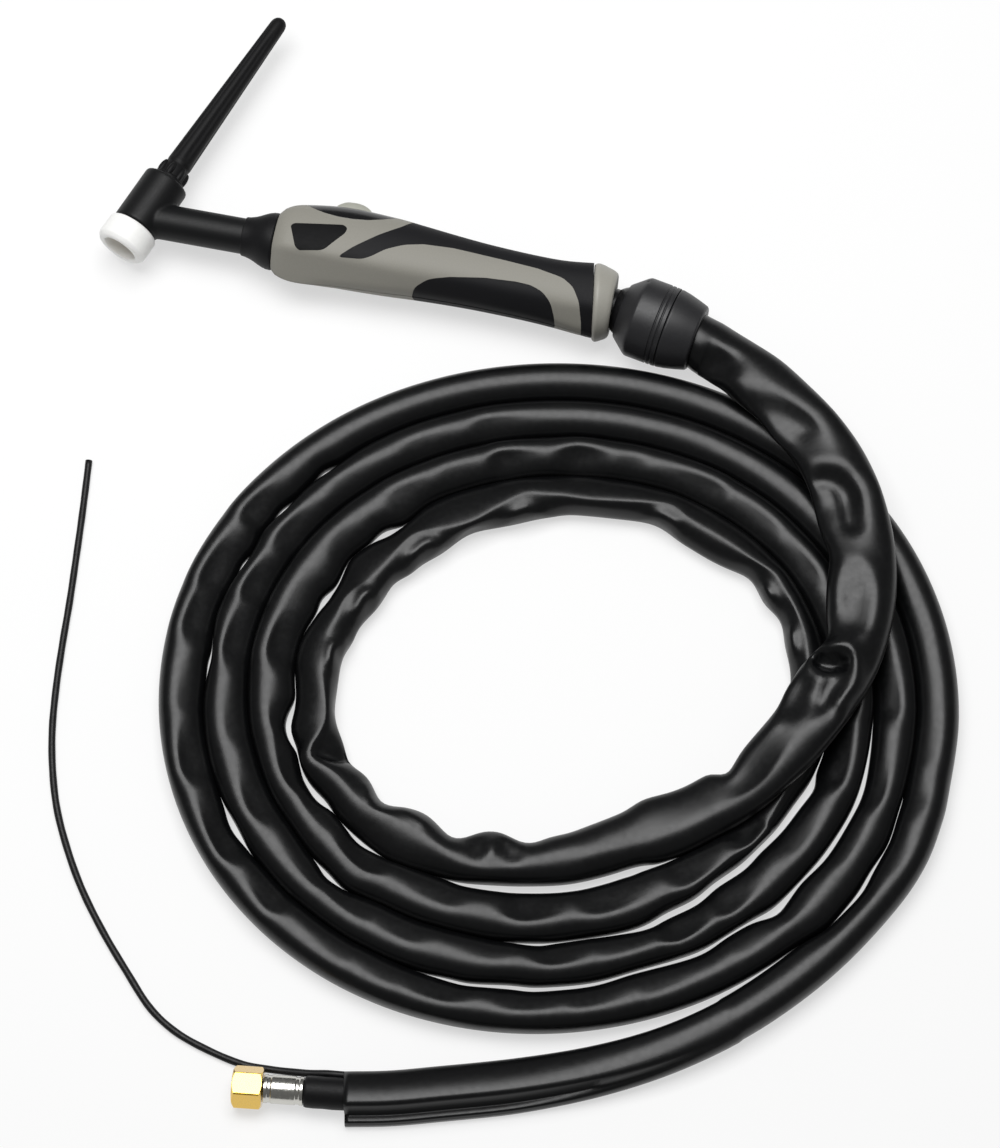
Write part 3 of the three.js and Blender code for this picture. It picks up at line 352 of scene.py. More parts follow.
# Half widths to either side: neighbouring turns press together, free sides keep their own.
press, free_out, free_in, least, most = 0.25, 9.4, 10.5, 3, 16.0
leaving, leave_out, leave_in = [0, 12, 40], [11.5, 13, 15.5], [11.5, 13, 15]
pitch = turn_pitch - 0.4 * np.cos(around) - 1.1 * np.sin(around)
innermost = in_coil & (turn_of < 0.93)
outermost = in_tail | (turn_of > 2.9)
half_out = np.where(outermost, free_out, pitch / 2 + press)
half_in = np.where(innermost, free_in, pitch / 2 + press)
half_out = np.where(in_lead, np.interp(sheath_run, leaving, leave_out), half_out)
half_in = np.where(in_lead, np.interp(sheath_run, leaving, leave_in), half_in)
beside_turn = in_lead | (turn_of < 0.03)
clear_of_clamp = sheath_run > 9
half_out = filled(side_reach(lead_outer, 1, near=5, far=24), half_out,
                  beside_turn & clear_of_clamp)
half_in = filled(side_reach(lead_inner, -1, near=5, far=24), half_in, in_lead & clear_of_clamp)
half_in = filled(side_reach(inner_edge, -1, near=2, far=20), half_in, innermost)
half_out = blurred(np.clip(half_out, least, most), 1.6)
half_in = blurred(np.clip(half_in, least, most), 1.2)
gap_fade, gap_near, gap_far, most_in, most_out = 11, 4, 14.5, -5, 3.5
edge_shift = np.full((2, len(sheath_run)), np.nan)
for line, half_gap in gaps:
    dense = smooth_line(np.column_stack([line, half_gap]), outline_step)
    for i in np.flatnonzero(~in_lead):
        offset = dense[:, :2] - sheath_line[i, :2]
        along = offset @ forward[i, :2]
        beside = offset @ outward[i, :2]
        hit = ((np.abs(along) < beside_half) & (np.abs(beside) > gap_near)
               & (np.abs(beside) < gap_far))
        if hit.any():
            room = np.abs(beside[hit]).mean() - dense[hit, 2].mean()
            outer_side = beside[hit].mean() > 0
            usual = half_out[i] if outer_side else half_in[i]
            edge_shift[int(outer_side), i] = np.clip(room - usual, most_in, most_out)
for shifts, half in zip(edge_shift, (half_in, half_out)):
    known = np.flatnonzero(~np.isnan(shifts))
    nearest = known[np.abs(sheath_run[:, None] - sheath_run[known]).argmin(axis=1)]
    fade = np.exp(-((sheath_run - sheath_run[nearest]) / gap_fade) ** 2)
    half += np.where(in_lead, 0, shifts[nearest] * fade)
half_out = blurred(half_out, 1.2)
half_in = blurred(half_in, 1.0)
crest = filled(side_reach(crest_line, 1, near=-9, far=12), 0.0, innermost)
crest = np.where(innermost, blurred(crest, 1.2), 0)
lead_lean = filled(side_reach(lead_crest, 1, near=-9, far=12), 3.0, beside_turn)
lead_lean = blurred(np.where(beside_turn, lead_lean, 0), 2.0)

# Heights above and below the line. The sleeve lies flat on the table or on the turns below.
settling, coil_rise, join_drop = [0, 10, 45, 400], 8.8, 12
above_table = sheath_line[:, 2]
rise = np.where(in_lead, np.interp(sheath_run, settling, [11.5, 11.8, 8.2, 8.0]), coil_rise)
drop = np.where(in_lead, np.interp(sheath_run, settling, [11.5, 11.8, 7.6, 7.4]), above_table)
near_join = ease(coil_begins - 90, coil_begins - 10, sheath_run) * in_lead
drop = drop * (1 - near_join) + np.minimum(above_table, join_drop) * near_join
drop = np.minimum(drop, above_table)
rise = blurred(rise, 4)

# Scallops on the inner side, sharp at one end and fading at the other. Each lets the inner
# side sink and pushes the ridge outward. Those of the first stretch have their own places; the
# coil's come by chance, fainter where the outer turns lie smooth at the back and on the right.
lead_height = 24
lead_scallops = [
    [(208, -24), 0.9, 8, 8], [(248, -49), 1.0, 19, 15],
    [(275, -79), 1.0, 9, 12], [(281, -157), 0.9, 6, 6], [(278, -176), 0.8, 9, 13],
    [(256, -207), 1.0, 20, 17]]
chance = np.random.default_rng(11)
slack = np.zeros(len(sheath_run))


def sink(place, amount, before, after):
    """Adds a scallop at a place along the sheath."""
    off = sheath_run - place
    np.maximum(slack, amount * np.exp(-(off / np.where(off < 0, before, after)) ** 2), out=slack)


for (x, y), amount, before, after in lead_scallops:
    sink(run_at(x, y, lead_height), amount, before, after)
place = run_at(*coil_line[28])  # the innermost turn's own folds lie before this
while place < coil_ends + 50:
    i = int(np.searchsorted(sheath_run, place))
    side = math.degrees(around[i]) % 360
    amount = chance.uniform(0.25, 1.0)
    if 20 < side < 150 and turn_of[i] > 1.9:
        amount *= 0.1 if turn_of[i] > 2.55 else 0.55
    if turn_of[i] > 2.9 and not 150 < side < 290:
        amount *= 0.35
    spans = chance.uniform(13, 24), chance.uniform(6, 10)
    sink(place, amount, *(spans[::-1] if 90 < side < 270 else spans))
    place += chance.uniform(22, 44)

phi = 2 * math.pi * (np.arange(ring_sides) + 0.5) / ring_sides
cos_phi, sin_phi = np.cos(phi), np.sin(phi)
flange = np.where(innermost, ease(0.10, 0.2, turn_of) * (1 - ease(0.90, 0.95, turn_of)), 0)
across = np.empty((len(sheath_run), ring_sides))
height = np.empty_like(across)
# How square a cross-section is: 2 is an ellipse. Slack lets the inner side go hollow.
outer_full, coil_full, bottom_full = 2.15, 2.05, 2.7
lead_hollow, coil_hollow, flange_hollow, sunk_share = 0.7, 0.55, 0.4, 0.2
for i in range(len(sheath_run)):
    full_in = (outer_full - lead_hollow * slack[i] if beside_turn[i]
               else coil_full - coil_hollow * max(flange[i], slack[i]))
    fullness = np.where(cos_phi > 0, outer_full - flange_hollow * flange[i], full_in)
    width = np.where(cos_phi > 0, half_out[i], half_in[i])
    x = width * np.sign(cos_phi) * np.abs(cos_phi) ** (2 / fullness)
    z = np.where(sin_phi > 0, rise[i], drop[i]) * np.sign(sin_phi) * np.abs(sin_phi) ** (
        2 / np.where(sin_phi > 0, fullness, bottom_full))
    lean = crest[i] * flange[i] + (1 - flange[i]) * (
        lead_lean[i] * (0.45 + 0.4 * slack[i]) if beside_turn[i] else 0.7 + 2.4 * slack[i])
    shift = lean * np.clip(sin_phi, 0, 1) ** 2
    across[i] = np.clip(x + shift, -half_in[i], half_out[i])
    inner_side = np.clip(-x / half_in[i], 0, 1)
    sunk = inner_side * (1 - inner_side) * 4
    height[i] = z * np.where(sin_phi > 0, 1 - sunk_share * slack[i] * (1 - flange[i]) * sunk, 1)

# Folds of the first stretch and of the innermost turn: lines in plan, with their spread and
# how far they stand up or lie down.
lead_folds = [
    ([[200, -26.3], [207.4, -25.7], [213.4, -25.7]], 6, -2.6),
    ([[229.5, -41.5], [238.8, -43.3], [247.3, -46.4], [252.5, -49]], 5.4, -1.2),
    ([[253.6, -66.8], [266.5, -63.6], [275.3, -63.4]], 5.4, 0.8),
    ([[265.3, -71], [271.1, -71.7], [275.7, -75.4], [278.8, -82.1], [281.1, -89.7]], 4.6, -2.8),
    ([[274.9, -103.8], [281.4, -106.2], [287.8, -107.8], [293.2, -111.2], [296.6, -117.8],
      [298.1, -125.5], [298, -135.7], [296.1, -142.6]], 5, 1),
    ([[279, -112.5], [278.6, -120.4], [280.2, -127]], 3.6, 0.9),
    ([[288.3, -124.2], [289.6, -137.2]], 6, -1.5),
    ([[280, -148], [289, -146.5]], 8.5, 1.9),
    ([[277.6, -155.4], [282.5, -156.2], [287.7, -154.9]], 2.8, -6.6),
    ([[278.6, -153.4], [286.6, -153.2]], 1.9, -1.4),
    ([[284.5, -166.9], [282.9, -174.5]], 4.6, -1.9),
    ([[272.3, -167.3], [269.7, -178.7]], 4, -1.2),
    ([[274.4, -156.3], [277.4, -151.6], [285.1, -148.6], [290.7, -151.5], [294, -158.4],
      [293.3, -166.2], [289.3, -174.2]], 3.6, 2.3),
    ([[274, -160], [280.4, -162.6], [286.6, -162.6]], 2.8, 0.6),
    ([[279.6, -164.7], [278.2, -172.8], [275.2, -183.3]], 3.2, 0.6),
    ([[262.9, -188.6], [255, -200.6], [248.6, -213]], 3, 0.9),
    ([[244.3, -230], [230.1, -240.5], [214.7, -251.2], [196.4, -258.6]], 6, 0.8)]
turn_folds = [
    ([[133.8, -109.7], [138.4, -106.4], [143.8, -107.9]], 3.8, 3.5),
    ([[93.4, -137.3], [97.9, -131.6], [103.6, -131]], 3.7, 3.5),
    ([[74, -167], [75.9, -160.4], [80.2, -158.8]], 3.5, 3.4),
    ([[67.2, -192.6], [66.9, -186.3], [70.8, -183.9]], 3.3, 3.2),
    ([[94.7, -245.8], [96.6, -250.7]], 2.8, 1.5),
    ([[152.6, -260.5], [152.8, -264.5]], 2.8, 1.2),
    ([[158.5, -260.5], [162.5, -264]], 3.2, -1.3),
    ([[143, -261], [147, -265]], 3.2, -1.3),
    ([[193.8, -100.1], [197.6, -98], [203.4, -99.9]], 3.8, 3.8),
    ([[249, -122.6], [251.6, -125.8]], 3.2, 3.6),
    ([[263.4, -140.8], [264.9, -146.6]], 2.8, 3.2),
    ([[88, -231], [78, -235], [70, -234.4]], 2.2, -3.4),
    ([[112, -252], [122, -257]], 3, 1)]
points = (sheath_line[:, None, :] + across[:, :, None] * outward[:, None, :]
          + height[:, :, None] * upward[:, None, :])


def near_line(places, line):
    """Least distance in plan from each place to a line of points."""
    dense = smooth_line(line, 0.7)[:, :2]
    gap = places[:, None, :] - dense[None, :, :]
    return np.sqrt((gap ** 2).sum(axis=2).min(axis=1))


for rows, folds in ((in_lead | (turn_of < 0.09), lead_folds), (innermost, turn_folds)):
    rows = np.flatnonzero(rows)
    top = np.flatnonzero(sin_phi > -0.2)
    weight = ease(-0.15, 0.25, sin_phi[top])
    for line, spread, amount in folds:
        patch = points[np.ix_(rows, top)]
        flat = patch[:, :, :2].reshape(-1, 2)
        lift = amount * np.exp(-(near_line(flat, line) / spread) ** 2).reshape(patch.shape[:2])
        points[np.ix_(rows, top, [2])] += (lift * weight)[:, :, None]

# The last stretch: the hose fills the inner half, the outer half is an empty flat flap. Across
# it, the top is round over the hose as far as the hump, falls to the foot and runs out flat.
flap_start, flap_full = 170, 60
hump, foot = 3.6, 6.4
hose_top, flap_top, flap_bottom = 8.5, -2.4, -8.15
section_full, hose_full, step_full, round_height = 2.3, 1.65, 3.0, 8.0
flap_level, flap_rise, edge_width, edge_fall = 9.0, 0.5, 0.9, 2.2
bottom_curve, bottom_flattened = 0.74, 0.72
round_half, flap_half = 9.8, 11.2
flap = ease(sheath_length - flap_start, sheath_length - flap_full, sheath_run)
for i in np.flatnonzero(flap > 0):
    half_width = np.interp(flap[i], [0, 1], [round_half, flap_half])
    x = half_width * np.sign(cos_phi) * np.abs(cos_phi) ** (2 / section_full)
    round_top = round_height * np.abs(sin_phi) ** (2 / section_full)
    inner = np.clip((hump - x) / (hump + half_width), 0, 1)
    outer = np.clip((x - hump) / (foot - hump), 0, 1)
    over_hose = np.where(
        x < hump, hose_top * (1 - inner ** hose_full) ** (1 / hose_full),
        flap_top + (hose_top - flap_top) * (1 - outer ** step_full) ** (1 / step_full))
    flat = (flap_top + flap_rise * ease(foot, flap_level, x)
            - edge_fall * ease(half_width - edge_width, half_width, x))
    folded = np.where(x < foot, np.maximum(over_hose, flap_top), flat)
    bottom = flap_bottom * np.abs(sin_phi) ** np.where(
        x > 0, bottom_curve - bottom_flattened * flap[i], bottom_curve)
    z = np.where(sin_phi > 0, round_top * (1 - flap[i]) + folded * flap[i], bottom)
    points[i] = (sheath_line[i] + x[:, None] * outward[i] + z[:, None] * upward[i])
points[:, :, 2] = np.maximum(points[:, :, 2], table_clearance)

# The cut end is open: its wall turns in and runs a little way back inside.
inside = []
for back in (0, 4, 10):
    ring = points[-1 - back]
    inward = unit(np.cross(np.roll(ring, -1, axis=0) - np.roll(ring, 1, axis=0),
                           forward[-1 - back]))
    if (inward * (ring.mean(axis=0) - ring)).sum() < 0:
        inward = -inward
    inside.append(ring + inward * wall_thickness)
rings = np.concatenate([points, np.array(inside)])
count = len(rings)
index = np.arange(count * ring_sides).reshape(count, ring_sides)
quads = np.stack([index[:-1], index[1:], np.roll(index[1:], -1, axis=1),
                  np.roll(index[:-1], -1, axis=1)], axis=-1).reshape(-1, 4)[:, ::-1]
faces = quads.tolist() + [index[0].tolist(), index[-1].tolist()[::-1]]
sheath = mesh_piece("sheath", in_row(rings.reshape(-1, 3)), faces)

# Soft PVC, extruded smooth: it gives a satin band along each crest, nearly black beside it.
vinyl = finish("satin_pvc_sheath", grains=0.42, dark="#050506", light="#090a0b",
               rough=(0.29, 0.36), bump=0.05, relief=0.4, IOR=1.5, Specular_IOR_Level=0.36)
sheath.data.materials.append(vinyl)
face_out(sheath)
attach(sheath, "lead")
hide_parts("sheath_lead", "sheath_coil", "sheath_tail")

# ---- switch lead ----
# A thin two-core cable for the trigger switch, in its own black jacket. It comes out beside
# the hose and ends in a bare cut.
switch_radius = 1.6
jacket_wave = 0.02
switch_route = [
    [120, -369.6, 8.2], [114, -370.2, 8.2], [109, -370.7, 8.0], [103, -371.3, 7.2],
    [94, -372.4, 5.2], [80, -373.2, 2.6]]
switch_route += [[x, y, 1.7] for x, y in (
    (66, -373.2), (50, -370), (35, -365), (22, -357), (9, -344), (-5, -329), (-18, -313),
    (-28.5, -297), (-38, -279), (-44.5, -261), (-49, -243), (-52, -223), (-54, -203),
    (-55.5, -184), (-57.5, -164), (-59.5, -145), (-61.5, -128), (-63, -116))]
switch_line = smooth_line(switch_route, 2.0)


def round_tube(line, radii, sides=16):
    """Vertices in millimetres and faces of a round tube, its ends closed by flat caps."""
    run = unit(np.gradient(line, axis=0))
    side = unit(np.cross([0, 0, 1], run))
    top = np.cross(run, side)
    turn = 2 * math.pi * np.arange(sides) / sides
    ring = (np.cos(turn)[None, :, None] * side[:, None, :]
            + np.sin(turn)[None, :, None] * top[:, None, :]) * np.reshape(radii, (-1, 1, 1))
    grid = np.arange(len(line) * sides).reshape(len(line), sides)
    walls = np.stack([grid[:-1], np.roll(grid[:-1], -1, axis=1), np.roll(grid[1:], -1, axis=1),
                      grid[1:]], axis=-1).reshape(-1, 4).tolist()
    return (line[:, None, :] + ring).reshape(-1, 3), walls + [grid[0].tolist()[::-1],
                                                              grid[-1].tolist()]


swell = switch_radius * (1 + jacket_wave * np.sin(np.arange(len(switch_line)) * 0.9))
vertices, faces = round_tube(switch_line, swell)
switch_cable = mesh_piece("switch_cable", in_row(vertices), faces)
# Extruded PVC: black, with a thin dull highlight along it.
cable_jacket = finish("black_pvc_cable_jacket", grains=0.9, dark="#070708", light="#0f0f10",
                      rough=(0.38, 0.52), bump=0.08, relief=0.3, IOR=1.5, Specular_IOR_Level=0.3)
switch_cable.data.materials.append(cable_jacket)
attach(switch_cable, "lead")
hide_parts("switch_lead")

# ---- head insulation ----
# Black glass-filled moulding over the brass torch body: a short barrel that takes the cup at
# one end and the back cap at the other, and a neck that runs into the handle's boot.
head_turn = math.radians(70)
head_origin = np.array([-64.0, 0.0, 0.0])
head_run = np.array([math.cos(head_turn), math.sin(head_turn), 0.0])
along_x = np.array([1.0, 0.0, 0.0])
barrel_radius, barrel_bottom, barrel_top = 11.0, -6.0, 21.5
neck_radius, neck_end = 8.3, 6.0
sleeve_radius, sleeve_top, collet_radius = 7.5, 18.3, 5.4
neck_bore = 4.5


def on_torch(points):
    """Millimetres about the handle's axis to metres in the frame."""
    return in_row(np.asarray(points, float) + [0, 0, axis_height])


def rounded(profile, radius):
    """The profile with each inner corner eased by a small curve, which takes less than half of
    the edge on either side and has one point just before it and one just after."""
    edge_share, lead_share, lead = 0.42, 0.48, 1.35
    p = [np.asarray(q, float) for q in profile]
    out = [p[0]]
    for before, corner, after in zip(p, p[1:], p[2:]):
        a, b = before - corner, after - corner
        la, lb = np.linalg.norm(a), np.linalg.norm(b)
        if la < 1e-6 or lb < 1e-6:
            continue
        bend = 1 + (a @ b) / (la * lb)
        if bend < 0.02:
            out.append(corner)
            continue
        r = min(radius, edge_share * la, edge_share * lb)
        start, end = corner + a / la * r, corner + b / lb * r
        out.append(corner + a / la * min(lead * r, lead_share * la))
        for u in (0, 0.25, 0.5, 0.75, 1):
            out.append((1 - u) ** 2 * start + 2 * u * (1 - u) * corner + u * u * end)
        out.append(corner + b / lb * min(lead * r, lead_share * lb))
    return out + [p[-1]]


def revolve(profile, origin, run, sides, shape=None):
    """Vertices and faces of a round form. Each profile point is a place along the axis and a
    radius; the form closes on the axis, or back to its first point. A shape gives each place
    and angle its own radius."""
    run = np.asarray(run, float)
    side = np.array([-run[1], run[0], 0.0])
    lift = np.array([0.0, 0.0, 1.0])
    turn = 2 * math.pi * np.arange(sides) / sides
    vertices, rows = [], []
    for place, radius in profile:
        centre = np.asarray(origin, float) + run * place
        if radius < 1e-6:
            rows.append([len(vertices)] * sides)
            vertices.append(centre)
            continue
        size = np.full(sides, float(radius)) if shape is None else shape(place, radius, turn)
        rows.append(list(range(len(vertices), len(vertices) + sides)))
        vertices += list(centre + size[:, None] * (np.cos(turn)[:, None] * lift
                                                   + np.sin(turn)[:, None] * side))
    closed = profile[0][1] > 1e-6 and profile[-1][1] > 1e-6
    pairs = list(zip(rows, rows[1:])) + ([(rows[-1], rows[0])] if closed else [])
    faces = []
    for low, high in pairs:
        for k in range(sides):
            corners = [low[k], low[(k + 1) % sides], high[(k + 1) % sides], high[k]]
            corners = list(dict.fromkeys(corners))
            if len(corners) > 2:
                faces.append(corners)
    return np.array(vertices), faces


def turned(name, profile, origin, run, material, sides=64, ease_edges=0.35, shape=None):
    """A finished round piece in the frame."""
    loop = profile[0][1] > 1e-6 and profile[-1][1] > 1e-6
    eased = rounded([*profile, profile[0], profile[1]] if loop else profile, ease_edges)
    if loop:
        eased = eased[1:-1]
        eased = [q for q, after in zip(eased, eased[1:] + eased[:1])
                 if np.linalg.norm(q - after) > 1e-4]
    vertices, faces = revolve([tuple(q) for q in eased], origin, run, sides, shape)
    return face_out(mesh_piece(name, on_torch(vertices), faces, material))


def carve(obj, tool, operation="DIFFERENCE"):
    """Cuts a tool's form from a piece, or joins it on, and throws the tool away."""
    change = obj.modifiers.new("carve", "BOOLEAN")
    change.operation, change.object, change.solver = operation, tool, "EXACT"
    freeze(obj)
    bpy.data.objects.remove(tool)
    return obj


def freeze(obj):
    """Turns a piece's modifiers into plain mesh."""
    plain = bpy.data.meshes.new_from_object(
        obj.evaluated_get(bpy.context.evaluated_depsgraph_get()))
    obj.modifiers.clear()
    obj.data = plain


# Glass-filled nylon, moulded: matt black with a fine grain, and no clear highlight.
head_moulding = finish("glass_filled_nylon", grains=1.5, dark="#0a0a0b", light="#121314",
                       rough=(0.42, 0.54), bump=0.12, relief=0.2, IOR=1.52,
                       Specular_IOR_Level=0.22)
head = turned("head_barrel", [(barrel_bottom, 0), (barrel_bottom, barrel_radius),
                              (barrel_top, barrel_radius), (barrel_top, 0)],
              head_origin, head_run, head_moulding, sides=72, ease_edges=1.1)
neck = turned("neck_form", [(-60, 0), (-60, neck_radius), (neck_end, neck_radius), (neck_end, 0)],
              [0, 0, 0], along_x, head_moulding, sides=72)
carve(head, neck, "UNION")
remesh = head.modifiers.new("even", "REMESH")
remesh.mode, remesh.voxel_size = "VOXEL", 0.55 * mm
settle = head.modifiers.new("settle", "SMOOTH")
settle.factor, settle.iterations = 0.5, 9
freeze(head)
for bore in ([(-8, 0), (-8, sleeve_radius), (sleeve_top, sleeve_radius), (sleeve_top, 0)],
             [(10, 0), (10, collet_radius), (24, collet_radius), (24, 0)]):
    carve(head, turned("bore", bore, head_origin, head_run, head_moulding, sides=48))
carve(head, turned("bore", [(-63, 0), (-63, neck_bore), (8, neck_bore), (8, 0)], [0, 0, 0],
                   along_x, head_moulding, sides=32))
head.name = "head_moulding"
head.data.shade_smooth()
head.data.set_sharp_from_angle(angle=math.radians(40))
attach(head, "handle")
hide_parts("head_insulation")

# ---- cup gasket ----
# White PTFE ring, turned from bar and pushed on over the torch body's nose. It insulates the
# head's lower end, and its wide bore takes the cup.
# Turned PTFE: waxy white that lets a little light in.
ptfe = finish("white_ptfe", grains=0.7, dark="#f1f1ee", light="#fafaf8", rough=(0.38, 0.5),
              bump=0.05, relief=0.3, IOR=1.36, Subsurface_Weight=0.5, Subsurface_Radius=(1, 1, 1),
              Subsurface_Scale=0.004)
gasket_front, gasket_back, gasket_floor = -18.6, -6.3, -11.2
gasket_bore, gasket_radius = 8.2, 12.2
gasket = turned("gasket_ring", [
    (gasket_front, gasket_bore), (gasket_front, 10.6), (gasket_front + 1.8, gasket_radius),
    (gasket_back - 1.2, gasket_radius), (gasket_back, 11.4), (gasket_back, sleeve_radius),
    (gasket_floor, sleeve_radius), (gasket_floor, gasket_bore)], head_origin, head_run, ptfe,
    sides=96, ease_edges=0.6)
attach(gasket, "handle")
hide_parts("cup_gasket")

# ---- back cap ----
# Long black phenolic cap that screws into the head and holds the electrode's tail. It tapers
# to a round tip, has shallow flutes along it, and ribs round its collar to turn it by.
cap_start, cap_end = 21.8, 121.3
cap_flutes, flute_depth = 6, 0.075
collar_ribs, rib_reach, rib_length, rib_width = 7, 6.1, 8.6, 3.3
shank_start, shank_radius = 9.3, 4.8
groove_start, groove_end, groove_radius = 13.5, 15.3, 3.9
tip_radius = 3.7


def cap_shape(place, radius, turn):
    """Six shallow flutes along the shaft, fading out at the tip."""
    depth = flute_depth * ease(31, 36, place) * (1 - ease(104, 116, place))
    return radius * (1 - depth * (0.5 - 0.5 * np.cos(cap_flutes * turn)) ** 2)


# Phenolic resin, pressed: dull black with a dry look.
phenolic = finish("black_phenolic", grains=1.3, dark="#0d0d0e", light="#161617",
                  rough=(0.46, 0.56), bump=0.1, relief=0.2, IOR=1.6, Specular_IOR_Level=0.12)
taper = [(x, float(np.interp(x, [29.3, cap_end - tip_radius], [6.1, 3.85]))) for x in
         np.linspace(32, cap_end - 4.4, 24)]
tip = [(cap_end - tip_radius + tip_radius * math.sin(a), tip_radius * math.cos(a)) for a in
       np.linspace(0.12, math.pi / 2 - 0.08, 7)]
cap = turned("back_cap_body", [
    (shank_start, 0), (shank_start, shank_radius), (groove_start, shank_radius),
    (groove_start, groove_radius), (groove_end, groove_radius), (groove_end, shank_radius),
    (cap_start, shank_radius), (cap_start, 7.5), (cap_start + 0.4, 7.75), (cap_start + 1.5, 7.7),
    (cap_start + 2.1, 6.5), (cap_start + 6.4, 6.3), (29.4, 6.0), (30.6, 5.75), *taper, *tip,
    (cap_end, 0)], head_origin, head_run, phenolic, sides=72, ease_edges=0.3, shape=cap_shape)


def form_tree(name, sizes, on_points=False):
    """A node tree with a named input for each size. Returns it, its input node and the
    inputs' identifiers with their values."""
    tree = bpy.data.node_groups.new(name, "GeometryNodeTree")
    if on_points:
        tree.interface.new_socket(name="Geometry", in_out="INPUT",
                                  socket_type="NodeSocketGeometry")
    inputs = []
    for label, kind, value in sizes:
        socket = tree.interface.new_socket(name=label, in_out="INPUT",
                                           socket_type="NodeSocket" + kind)
        inputs.append((socket.identifier, value))
    tree.interface.new_socket(name="Geometry", in_out="OUTPUT", socket_type="NodeSocketGeometry")
    return tree, add_node(tree, "NodeGroupInput"), inputs


def end_tree(tree, given, copies):
    """Ends a node tree with real copies in the given material."""
    real = add_node(tree, "GeometryNodeRealizeInstances", [(copies.outputs[0], "Geometry")])
    painted = add_node(tree, "GeometryNodeSetMaterial", [
        (real.outputs[0], "Geometry"), (given.outputs["Material"], "Material")])
    add_node(tree, "NodeGroupOutput", [(painted.outputs[0], 0)])


def grown(name, node_tree, inputs, holder=None):
    """Runs a node tree on a holder object and returns the plain mesh that it makes."""
    obj = holder or mesh_piece(name, [(0, 0, 0)], [])
    made = obj.modifiers.new("grow", "NODES")
    made.node_group = node_tree
    for identifier, value in inputs:
        made[identifier] = value
    freeze(obj)
    obj.name = name
    return obj


rib_tree, given, rib_sizes = form_tree("collar_ribs", (
    ("Count", "Int", collar_ribs), ("Radius", "Float", rib_reach * mm),
    ("Length", "Float", rib_length * mm), ("Width", "Float", rib_width * mm),
    ("Material", "Material", phenolic)))
circle = add_node(rib_tree, "GeometryNodeMeshCircle", [(given.outputs["Count"], "Vertices"),
                                                       (given.outputs["Radius"], "Radius")])
ball = add_node(rib_tree, "GeometryNodeMeshUVSphere", Segments=16, Rings=12, Radius=0.5)
sizes = add_node(rib_tree, "ShaderNodeCombineXYZ", [(given.outputs["Width"], "X"),
                                                    (given.outputs["Width"], "Y"),
                                                    (given.outputs["Length"], "Z")])
stretched = add_node(rib_tree, "GeometryNodeTransform", [(ball.outputs["Mesh"], "Geometry"),
                                                         (sizes.outputs[0], "Scale")])
copies = add_node(rib_tree, "GeometryNodeInstanceOnPoints", [(circle.outputs["Mesh"], "Points"),
                                                             (stretched.outputs[0], "Instance")])
end_tree(rib_tree, given, copies)
ribs = grown("collar_ribs", rib_tree, rib_sizes)
to_cap = Matrix.Translation(Vector(on_torch(head_origin + head_run * (cap_start + 4)))) @ Vector(
    head_run).to_track_quat("Z", "X").to_matrix().to_4x4()
ribs.data.transform(to_cap)
joined = bmesh.new()
joined.from_mesh(cap.data)
joined.from_mesh(ribs.data)
joined.to_mesh(cap.data)
joined.free()
bpy.data.objects.remove(ribs)
cap.data.shade_smooth()
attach(cap, "cap")
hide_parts("back_cap")

# ---- neck boot ----
# Soft black rubber collar, moulded, that slides over the neck. It flares to meet the handle,
# and its plug is held inside the shell's front end.
# Rubber, moulded: deep matt black.
rubber_black = finish("moulded_black_rubber", grains=1.8, dark="#0c0c0d", light="#161618",
                      rough=(0.45, 0.6), bump=0.2, relief=0.2, IOR=1.5, Specular_IOR_Level=0.18)
boot_start, boot_plug, plug_radius = -15.6, 7.4, 9.4
flare = [(boot_start, 8.6), (-15.2, 9.0), (-13.5, 9.2), (-11, 9.9), (-9, 10.75), (-7, 11.75),
         (-5, 12.6), (-3, 13.15), (-1.2, 13.3), (-0.35, 13.0)]
boot = turned("boot", [*flare, (-0.35, plug_radius), (boot_plug, plug_radius),
                       (boot_plug, neck_radius + 0.3), (boot_start, neck_radius + 0.3)],
              [0, 0, 0], along_x, rubber_black, sides=80, ease_edges=0.25)
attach(boot, "handle")
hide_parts("neck_boot")

# ---- handle shell and inlays ----
# Two moulded halves in grey glass-filled nylon, screwed together, with black soft grip moulded
# into pockets along the back and in the palm, a small bare black plate and a black trigger lens.
handle_length = 148.0
face_lean = math.tan(math.radians(8.3))
stem_drop = math.tan(math.radians(8))
rear_turn = math.radians(-8)
rear_origin = np.array([handle_length, -1.5, 0.0])
rear_run = np.array([math.cos(rear_turn), math.sin(rear_turn), 0.0])
top_edge = [[0, 13.2], [.02, 16.2], [.07, 19], [.2, 21.6], [.35, 20.8], [.45, 19.2], [.57, 17.1],
            [.67, 15.6], [.8, 14.4], [.9, 14.2], [1, 15.6], [1.05, 15.8]]
bottom_edge = [[0, 13.4], [.02, 16.4], [.07, 18.8], [.12, 18.4], [.2, 16.8], [.35, 15.9],
               [.45, 15], [.57, 14.6], [.67, 14.7], [.8, 15.4], [.9, 16.6], [1, 18.4],
               [1.05, 18.8]]
side_face = [[0, 12.8], [.02, 14.8], [.07, 16], [.3, 15.8], [.6, 14.4], [.85, 14.6], [1, 16.2],
             [1.05, 16.4]]
fullness = 2.4
crease_height = [[0, -9.2], [30, -10.2], [66, -11.6], [134, -12.4], [150, -12.2]]
flank_out, flank_down, flank_inset = 0.55, 0.835, 0.55
crease_sharpness = 40
unroll = 17.0  # millimetres of unrolled skin to a radian round the handle
near_wall, far_wall, grip_depth, plate_depth, rim_ease = 2.4, 3.0, 1.5, 1.4, 0.28
